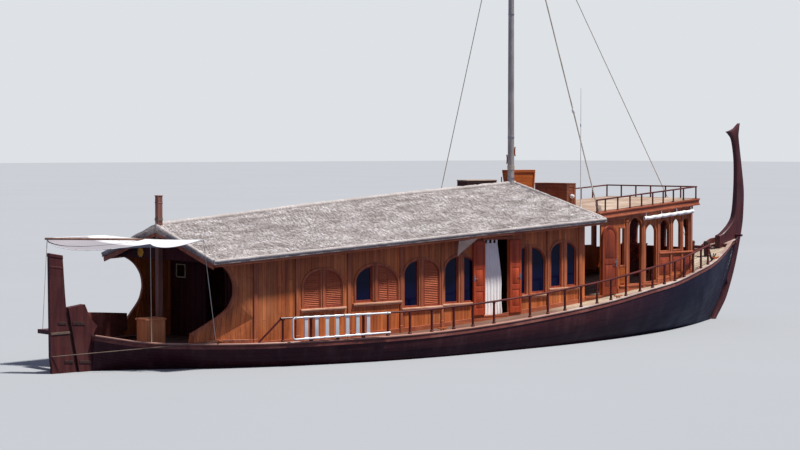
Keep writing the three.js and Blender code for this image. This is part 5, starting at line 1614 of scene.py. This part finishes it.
def build_stern_gear():
    """Iron straps and pins of the rudder, the lashings on it, and the taut lines about the stern."""
    turning_irons, fixed_irons = Stock(), Stock()
    for z in GUDGEONS:
        x = rudder_axis(z)
        for side in (-1, 1):
            y = side * 0.057
            turning_irons.bar((x - 0.06, y, z), (x - 0.30, y, z + 0.02), 0.012, 0.07, ease=0.003)
            y = side * 0.107
            fixed_irons.bar((x + 0.075, y, z), (x + 0.42, y, z - 0.03), 0.012, 0.075, ease=0.003)
            for reach in (0.12, 0.24):
                turning_irons.turning(RIVET, (x - reach, side * 0.062, z + 0.01), (0, side, 0), 8)
                fixed_irons.turning(RIVET, (x + reach + 0.06, side * 0.112, z - 0.015), (0, side, 0), 8)
    piece("rudder_straps", turning_irons, RUSTED_IRON, "rudder_blade")
    piece("stern_post_straps", fixed_irons, RUSTED_IRON)
    head = Stock()
    for outline, half, ease in RUDDER_HEAD:
        head.plate(outline, lambda x, z, y: (x, y, z), -half, half, ease)
    piece("rudder_head_cap", head, STERN_WOOD, "rudder_blade")
    turns = Stock()
    for k in range(3):
        z = 0.93 + 0.02 * k
        x0, x1 = -12.045, rudder_axis(z) - 0.02
        out = [(x0, -0.056, z), (x0 + 0.05, -0.061, z + 0.004), (x1 - 0.03, -0.061, z + 0.01),
               (x1, -0.055, z + 0.01)]
        back = [(x1, 0.055, z + 0.012), (x1 - 0.03, 0.061, z + 0.01), (x0 + 0.05, 0.061, z + 0.004),
                (x0, 0.056, z), (x0 - 0.007, 0, z), (x0, -0.056, z)]
        turns.tube(out + back, 0.008, 6)
    piece("rudder_lashing", turns, OLD_ROPE, "rudder_blade")
    lines = Stock()
    for a, b, radius in (((-11.08, 1.69, 3.12), (-11.35, 1.48, 0.93), 0.009),
                         ((-9.85, -0.97, 3.045), (-9.82, -0.96, sheer_at(-9.82)), 0.009),
                         ((-9.20, -2.235, 3.16), (-8.46, -1.71, sheer_at(-8.46)), 0.009),
                         ((-8.92, 1.02, 2.90), (-9.6, 0.94, 3.09), 0.007)):
        lines.tube(taut(a, b), radius, 6)
    piece("stern_lines", lines, ROPE)
    cleat = (-8.30, -rail_y(-8.3) - 0.02, sheer_at(-8.3) + 0.055)
    ropes = Stock().tube(taut((-12.03, -0.057, 0.41), cleat, 60), 0.011, 8)
    steering = piece("steering_lines", ropes.both(), OLD_ROPE, body=None)
    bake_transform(steering)


def rope_cleat(stock, x, y, z):
    for side in (-1, 1):
        post(stock, x + side * 0.045, y, z, z + 0.05, 0.035, 0.035)
    horns = ((-0.16, 0.068), (-0.08, 0.056), (0, 0.054), (0.08, 0.056), (0.16, 0.068))
    stock.tube([(x + along, y, z + rise) for along, rise in horns], 0.019, 8)


CLEATS_X, BITTS_X, BITTS_Y = (-8.30, -2.45, 4.36, 10.6), 11.25, 0.28
FORE_HATCH_X, FORE_HATCH_SLOPE = 9.85, 0.14
# first and last x, and side of each bench
BENCHES = [(7.35, 8.72, -1), (5.75, 8.72, 1)]


def build_deck_gear():
    """Cleats along the rail, bitts and a hatch on the foredeck, and benches in the fore house."""
    cleats = Stock()
    for x in CLEATS_X:
        rope_cleat(cleats, x, -rail_y(x) + 0.012, sheer_at(x))
    cleats.both()
    piece("rail_cleats", cleats, BOX_WOOD)
    bow = Stock()
    foot = deck_at(BITTS_X)
    for y in (-BITTS_Y, BITTS_Y):
        post(bow, BITTS_X, y, foot + 0.001, foot + 0.46, 0.12, 0.12, 0.016)
        post(bow, BITTS_X, y, foot + 0.38, foot + 0.43, 0.14, 0.14, 0.014)
    bow.bar((BITTS_X, -0.48, foot + 0.27), (BITTS_X, 0.48, foot + 0.27), 0.09, 0.09, ease=0.02)
    piece("bow_bitts", bow, STEM_WOOD)
    hatch = Stock()
    floor = deck_at(FORE_HATCH_X) - 0.06

    def on_slope(x, y, w):
        return (x, y, floor + (x - FORE_HATCH_X) * FORE_HATCH_SLOPE + w)

    hatch.casing(rectangle(9.46, 10.24, -0.42, 0.42), 0.05, on_slope, 0.0, 0.20, 0.008)
    for k in range(7):
        y = (k - 3) * 0.134
        hatch.bar((9.39, y, floor + 0.145), (10.31, y, floor + 0.275), 0.128, 0.026, ease=0.005)
    piece("foredeck_hatch", hatch, DECK_WOOD)
    seats = Stock()
    for x0, x1, side in BENCHES:
        back = [wall_y(x) - WALL for x in (x0, x1)]
        level = deck_at(x0)
        for k in range(4):
            in_by = 0.05 + k * 0.108 + 0.004
            ends = [(x, side * (y - in_by), level + 0.44) for x, y in zip((x0, x1), back)]
            seats.bar(*ends, 0.10, 0.028)
        for x in steps(x0 + 0.08, x1 - 0.08, 3):
            inside = wall_y(x) - WALL
            post(seats, x, side * (inside - 0.40), deck_at(x) + 0.001, level + 0.425, 0.06, 0.06)
            ends = [(x, side * (inside - reach), level + 0.40) for reach in (0.01, 0.43)]
            seats.bar(*ends, 0.05, 0.05)
    piece("fore_house_benches", seats, LEVEL)


# how far out along a petal, its half width and its rise there
PETAL = [(0.030, 0.008, 0.016), (0.055, 0.020, 0.028), (0.085, 0.030, 0.024), (0.108, 0.017, 0.013),
         (0.118, 0.004, 0.007)]
PETALS, FLOWER_SIZE = 10, 1.15
FLOWER_AT = Vector((-8.876, 0.90, 2.75))
AFT_POST_X = -8.94


def spoke(turn):
    """Two directions of a plane across the boat: out at an angle from +Y, and square to that."""
    return Vector((0, math.cos(turn), math.sin(turn))), Vector((0, -math.sin(turn), math.cos(turn)))


def build_aft_details():
    """The carved flower on the gable, the lashing on the aft post, and the framing of the aft box."""
    flower = Stock()
    for turn in circle(PETALS):
        ahead, side = spoke(turn)
        rings = []
        for reach, wide, proud in PETAL:
            middle = FLOWER_AT + ahead * reach * FLOWER_SIZE
            rings.append([middle + side * (math.cos(a) * wide * FLOWER_SIZE)
                          - Vector((max(math.sin(a), -0.1) * proud, 0, 0)) for a in circle(8)])
        flower.skin(rings)
    flower.turning([(0, 0.034), (0.012, 0.034), (0.024, 0.024), (0.03, 0.008)], FLOWER_AT, (-1, 0, 0), 14)
    piece("gable_flower", flower, YELLOW_PAINT)
    band = Stock()
    for k in range(4):
        z, y = 3.56 + 0.018 * k, 0.071
        band.tube([(-9.01, -y, z), (-8.94, -y - 0.004, z), (-8.87, -y, z + 0.006), (-8.866, y, z + 0.006),
                   (-8.94, y + 0.004, z), (-9.012, y, z), (-9.016, 0, z), (-9.01, -y, z)], 0.008, 6)
    piece("aft_post_lashing", band, OLD_ROPE)
    cap = Stock()
    for half, level, low, high in ((0.078, 4.16, -0.001, 0.02), (0.072, 3.98, 0, 0.03)):
        square = rectangle(AFT_POST_X - half, AFT_POST_X + half, -half, half)
        cap.plate(square, above(level), low, high, 0.008)
    piece("aft_post_cap", cap, AFT_POST_WOOD)
    # The aft box and its lid take the paler wood, which is painted sunlight.
    box = framed_box(Stock(), (-9.57, -0.40, deck_at(-9.3) - 0.02), (-9.05, 0.03, 1.148), 0.06)
    piece("aft_box_joinery", box, AFT_BOX_SUNLIT_WOOD)
    lid = Stock().plate(rectangle(-9.56, -9.065, -0.39, 0.02), above(1.19), -0.001, 0.012, 0.006)
    piece("aft_box_lid_panel", lid, AFT_BOX_SUNLIT_WOOD, "box_lid")


HELM_AT, HELM_R = Vector((8.13, 0, 2.26)), 0.33
# height up a spoke, or along the axle, and radius there
HELM_SPOKE = [(0.05, 0.017), (0.12, 0.012), (0.16, 0.019), (0.20, 0.012), (0.30, 0.014), (0.345, 0.014),
              (0.36, 0.010), (0.39, 0.016), (0.425, 0.013), (0.438, 0.005)]
HELM_HUB = [(-0.036, 0.03), (-0.032, 0.055), (-0.012, 0.064), (0.012, 0.064), (0.032, 0.055), (0.036, 0.03),
            (0.119, 0.03)]


def build_helm():
    """A turned wheel with six spokes on a panelled console."""
    rings = []
    for turn in circle(48):
        ahead = Vector((0, math.sin(turn), math.cos(turn)))
        rings.append([HELM_AT + ahead * (HELM_R + math.cos(a) * 0.017) + Vector((math.sin(a) * 0.021, 0, 0))
                      for a in circle(10)])
    wheel = Stock().skin(rings, loop=True)
    for turn in circle(6):
        wheel.turning(HELM_SPOKE, HELM_AT, Vector((0, math.sin(turn), math.cos(turn))), 10)
    wheel.turning(HELM_HUB, HELM_AT, (1, 0, 0), 22)
    piece("helm_wheel_turned", wheel, DOOR, "steering_wheel", stands_for=["helm_wheel"])
    desk = framed_box(Stock(), (8.25, -0.26, deck_at(8.4) + 0.01), (8.55, 0.26, 2.448), 0.05, 0.010)
    desk.bar((8.225, 0, 2.462), (8.575, 0, 2.462), 0.58, 0.028, ease=0.008)
    piece("helm_console_joinery", desk, DOOR)


SCREW_AT, SCREW_PITCH, SCREW_BLADES = Vector((-10.56, 0, -0.72)), 0.62, 4
SCREW_BOSS = [(-0.12, 0.012), (-0.105, 0.045), (-0.06, 0.066), (0.0, 0.070), (0.11, 0.062), (0.112, 0.030),
              (0.60, 0.030)]
# how far out along a blade, its half width and its thickness there
SCREW_BLADE = [(0.05, 0.055, 0.018), (0.11, 0.080, 0.014), (0.18, 0.105, 0.010), (0.25, 0.105, 0.008),
               (0.31, 0.075, 0.006), (0.337, 0.030, 0.004)]


def build_propeller():
    """Four twisted blades on a boss, with the shaft into the deadwood."""
    screw = Stock().turning(SCREW_BOSS, SCREW_AT, (1, 0, 0), 24)
    for turn in circle(SCREW_BLADES):
        ahead, side = spoke(turn)
        rings = []
        for reach, half, thick in SCREW_BLADE:
            pitch = math.atan2(SCREW_PITCH, 2 * math.pi * max(reach, 0.07))
            chord = side * math.cos(pitch) + Vector((math.sin(pitch), 0, 0))
            normal = ahead.cross(chord)
            middle = SCREW_AT + ahead * reach
            rings.append([middle + chord * (math.cos(a) * half) + normal * (math.sin(a) * thick / 2)
                          for a in circle(12)])
        screw.skin(rings)
    piece("propeller_cast", screw, BRONZE, "screw", stands_for=["propeller"], sharp=50)


build_mast()
build_stay_fittings()
build_stern_gear()
build_deck_gear()
build_aft_details()
build_helm()
build_propeller()

# Cloth

# the awning's aft edge and its fore edge, each from port to starboard
AWNING_AFT = ((-11.10, 1.70, 3.135), (-9.85, -0.97, 3.05))
AWNING_FORE = ((-9.20, 2.00, 3.14), (-9.22, -2.25, 3.18))
AWNING_FLAT, AWNING_CUT, AWNING_ROWS = (2.0, 4.3), 4.2, 48
CURTAIN_X, CURTAIN_Y, CURTAIN_Z = (0.175, 0.855), -1.945, (0.835, 2.785)
# how wide the curtain is drawn, down its height
CURTAIN_DRAW = [(0.0, 0.79), (0.25, 0.93), (0.5, 1.03), (0.75, 1.01), (1.0, 1.05)]
ROD_X, ROD_Z, KNOBS_X = (0.135, 1.025), 2.945, (0.14, 1.02)
ROD_KNOB = [(-0.02, 0.004), (-0.012, 0.018), (0.0, 0.02), (0.012, 0.018), (0.02, 0.004)]
TAB_R = 0.0145
# x and height from the eave's line of the pennant's corners
PENNANT = [(-1.10, 0.0), (-0.26, 0.0), (-1.16, -0.52)]
PENNANT_Y, PENNANT_DROP = -2.395, 0.045
ROLL_X, ROLL_R, ROLL_DROP, ROLL_INSET = (6.52, 8.82), 0.055, 0.095, 0.014


def spread_out(rows, columns, place):
    """Points over a cloth; place(s, t) says where one lies, s from row to row and t along a row."""
    return [[place(s, t) for t in steps(0, 1, columns)] for s in steps(0, 1, rows)]


def cloth_stock(grid, thick=0.003):
    """A thin closed sheet over rows of points."""
    rows, columns = len(grid), len(grid[0])
    at = [[Vector(point) for point in row] for row in grid]
    above_line, below_line = [], []
    for i in range(rows):
        for j in range(columns):
            along = at[min(i + 1, rows - 1)][j] - at[max(i - 1, 0)][j]
            across = at[i][min(j + 1, columns - 1)] - at[i][max(j - 1, 0)]
            normal = along.cross(across).normalized() * (thick / 2)
            above_line.append(at[i][j] + normal)
            below_line.append(at[i][j] - normal)
    total = rows * columns
    faces = []
    for i in range(rows - 1):
        for j in range(columns - 1):
            a, d = i * columns + j, (i + 1) * columns + j
            faces.append((a, a + 1, d + 1, d))
            faces.append((total + d, total + d + 1, total + a + 1, total + a))
    rim = [(0, j) for j in range(columns)] + [(i, columns - 1) for i in range(1, rows)]
    rim += [(rows - 1, j) for j in range(columns - 2, -1, -1)] + [(i, 0) for i in range(rows - 2, 0, -1)]
    corners = [i * columns + j for i, j in rim]
    for a, b in zip(corners, corners[1:] + corners[:1]):
        faces.append((b, a, total + a, total + b))
    return Stock().add(above_line + below_line, faces)


def build_awning():
    """The stern awning: one sheet from the slanting spar, bellied between its corners, with a roped hem."""
    (a, b), (c, d) = ([Vector(point) for point in edge] for edge in (AWNING_AFT, AWNING_FORE))

    def place(s, t):
        point = a.lerp(b, s).lerp(c.lerp(d, s), t)
        belly = 0.21 * math.sin(math.pi * s ** 0.5) * (1 - t) ** 0.7 + 0.05 * math.sin(math.pi * s)
        side_belly = 0.12 * math.sin(math.pi * t ** 0.7) * s ** 3
        pucker = 0.006 * math.sin(s * 46 + t * 3) * (1 - t) ** 2 * math.sin(math.pi * s)
        return (point.x, point.y, point.z - belly - side_belly + pucker - 0.004)

    grid = spread_out(AWNING_ROWS + 1, 21, place)
    sheet = piece("awning_sheet", cloth_stock(grid), AWNING_CLOTH, sharp=70, stands_for=["awning"])
    hem = Stock()
    for edge in (grid[0], grid[-1], [row[0] for row in grid], [row[-1] for row in grid]):
        hem.tube(edge, 0.008, 6)
    hem_piece = piece("awning_hem", hem, WHITE_CLOTH)
    ties = Stock()
    for s in (0.02, 0.3, 0.62):
        x, y, z = grid[round(s * AWNING_ROWS)][0]
        ties.turning([(-0.012, 0.012), (0.0, 0.018), (0.012, 0.012)], (x, y, z + 0.006), sides=10)
    ties.tube([c, (-9.05, 2.02, 3.03), (-9.0, 2.04, 2.97)], 0.007, 6)
    ties.tube([d, (-9.1, -2.24, 2.98), (-9.0, -2.26, 2.86)], 0.007, 6)
    piece("awning_ties", ties, ROPE)


def build_curtain():
    """A long curtain on a rod in the doorway, in deep folds that spread at its foot."""
    low, high = CURTAIN_Z
    x0, x1 = CURTAIN_X

    def place(s, t):
        drawn_to = x0 + (x1 - x0) * smooth(CURTAIN_DRAW, s)
        fold = lerp(0.010, 0.018, s) * math.sin(t * 2 * math.pi * 6 + 0.5 * math.sin(s * 5))
        fold += 0.008 * math.sin(t * 2 * math.pi * 3 + s * 4)
        flare = 0.02 * max(0, s - 0.86) / 0.14 * math.sin(t * 2 * math.pi * 7)
        y = CURTAIN_Y + 0.008 + fold * 0.6 + flare * 0.4
        return (lerp(x0, drawn_to, t), y, lerp(high, low, s))

    grid = spread_out(45, 73, place)
    sheet = piece("curtain_cloth", cloth_stock(grid, 0.0025), WHITE_CLOTH, sharp=70, stands_for=["curtain"])
    rod = Stock().tube([(x, CURTAIN_Y, ROD_Z) for x in ROD_X], 0.011, 12)
    for x in KNOBS_X:
        rod.turning(ROD_KNOB, (x, CURTAIN_Y, ROD_Z), (1, 0, 0), 12)
        rod.bar((x, -1.992, ROD_Z), (x, CURTAIN_Y, ROD_Z), 0.012, 0.02)
    piece("curtain_rod", rod, STEEL)
    tabs = Stock()
    for x in steps(grid[0][0][0] + 0.04, grid[0][-1][0] - 0.04, 4):
        foot = min(grid[0], key=lambda point: abs(point[0] - x))[1] - CURTAIN_Y
        over = [(math.cos(a) * TAB_R, ROD_Z + math.sin(a) * TAB_R) for a in steps(math.pi, 0, 9)]
        line = [(foot - 0.0035, high - 0.022), (foot - 0.0035, high), (-TAB_R, ROD_Z - 0.05)] + over
        line += [(TAB_R, ROD_Z - 0.05), (foot + 0.0035, high), (foot + 0.0035, high - 0.022)]
        rows = [[(x + w, CURTAIN_Y + y, z) for w in (-0.036, -0.012, 0.012, 0.036)] for y, z in line]
        tab = cloth_stock(rows, 0.002)
        tabs.add(tab.points, tab.faces)
    tab_piece = piece("curtain_tabs", tabs, WHITE_CLOTH)


def build_pennant():
    """A small three-cornered cloth that hangs from the eave."""
    aft, fore, tip = (Vector((x, PENNANT_Y, eave_z(x) - PENNANT_DROP + drop)) for x, drop in PENNANT)

    def place(s, t):
        point = aft.lerp(tip, s).lerp(fore.lerp(tip, s), t)
        wave = 0.022 * math.sin(t * 5 + s * 2.2) * s * (1 - 0.6 * s)
        sag = 0.012 * math.sin(math.pi * t) * (1 - s)
        return (point.x + (t - 0.5) * 0.012 * s, point.y + wave, point.z - sag)

    sheet = piece("pennant_cloth", cloth_stock(spread_out(15, 15, place), 0.002), GREY_CLOTH, sharp=70,
                  stands_for=["pennant"])


def build_rolled_awning():
    """A side awning rolled tight under the edge of the sun deck, pinched by its straps."""
    def middle(x):
        return -sun_edge(x) + ROLL_INSET, sun_top(x) - SUN_THICK - ROLL_DROP - ROLL_R

    ties = [lerp(*ROLL_X, t) for t in (0.04, 0.35, 0.66, 0.96)]
    rings = []
    for x in steps(*ROLL_X, 120):
        near = min(abs(x - tie) for tie in ties)
        tight = ROLL_R * (1 - 0.20 * math.exp(-(near / 0.045) ** 2))
        y, z = middle(x)
        z -= 0.016 * math.sin(math.pi * min(near / 0.37, 1))
        rings.append([(x, y + math.cos(a) * tight * (1 + 0.05 * math.sin(3 * a + x * 9)),
                       z + math.sin(a) * tight * (1 + 0.06 * math.sin(2 * a - x * 7))) for a in circle(24)])
    roll = piece("rolled_awning_cloth", Stock().skin(rings), WHITE_CLOTH, sharp=60,
                 stands_for=["rolled_awning"])
    straps = Stock()
    inner = ROLL_R * 0.82 + 0.002
    for x in ties:
        y, z = middle(x)
        sections = []
        for a in circle(20):
            near, far = ((y + math.cos(a) * r, z + math.sin(a) * r) for r in (inner, inner * 1.07))
            sections.append([(x - 0.018, *near), (x + 0.018, *near), (x + 0.018, *far), (x - 0.018, *far)])
        straps.skin(sections, loop=True)
        post(straps, x, y, z + ROLL_R * 0.80, sun_top(x) - SUN_THICK + 0.002, 0.004, 0.036, 0.001)
    piece("rolled_awning_straps", straps, WHITE_CLOTH)


build_awning()
build_curtain()
build_pennant()
build_rolled_awning()

# The floor, at the waterline

FLOOR_HALF = 600
FLOOR_SEEN, FLOOR_THROWN = ((164, 168, 172), (170, 174, 178)), (92, 98, 116)


def lay_floor():
    """A plain pale floor that throws less light back at the boat than it shows."""
    corners = [(x, y, 0) for x, y in rectangle(-FLOOR_HALF, FLOOR_HALF, -FLOOR_HALF, FLOOR_HALF)]
    mesh = bpy.data.meshes.new("floor")
    mesh.from_pydata(corners, [], [(0, 1, 2, 3)])
    paint, tree, place = bare("floor_paint")
    shade = blend(tree, mottle(tree, place, 0.05), tint(*FLOOR_SEEN[0]), tint(*FLOOR_SEEN[1]))
    seen = put(tree, "BsdfDiffuse", Color=shade)
    thrown = put(tree, "BsdfDiffuse", Color=tint(*FLOOR_THROWN))
    put(tree, "OutputMaterial", Surface=thrown_or_seen(tree, thrown, seen))
    mesh.materials.append(paint)
    into_scene("floor", mesh)


lay_floor()
set_camera()
set_light()
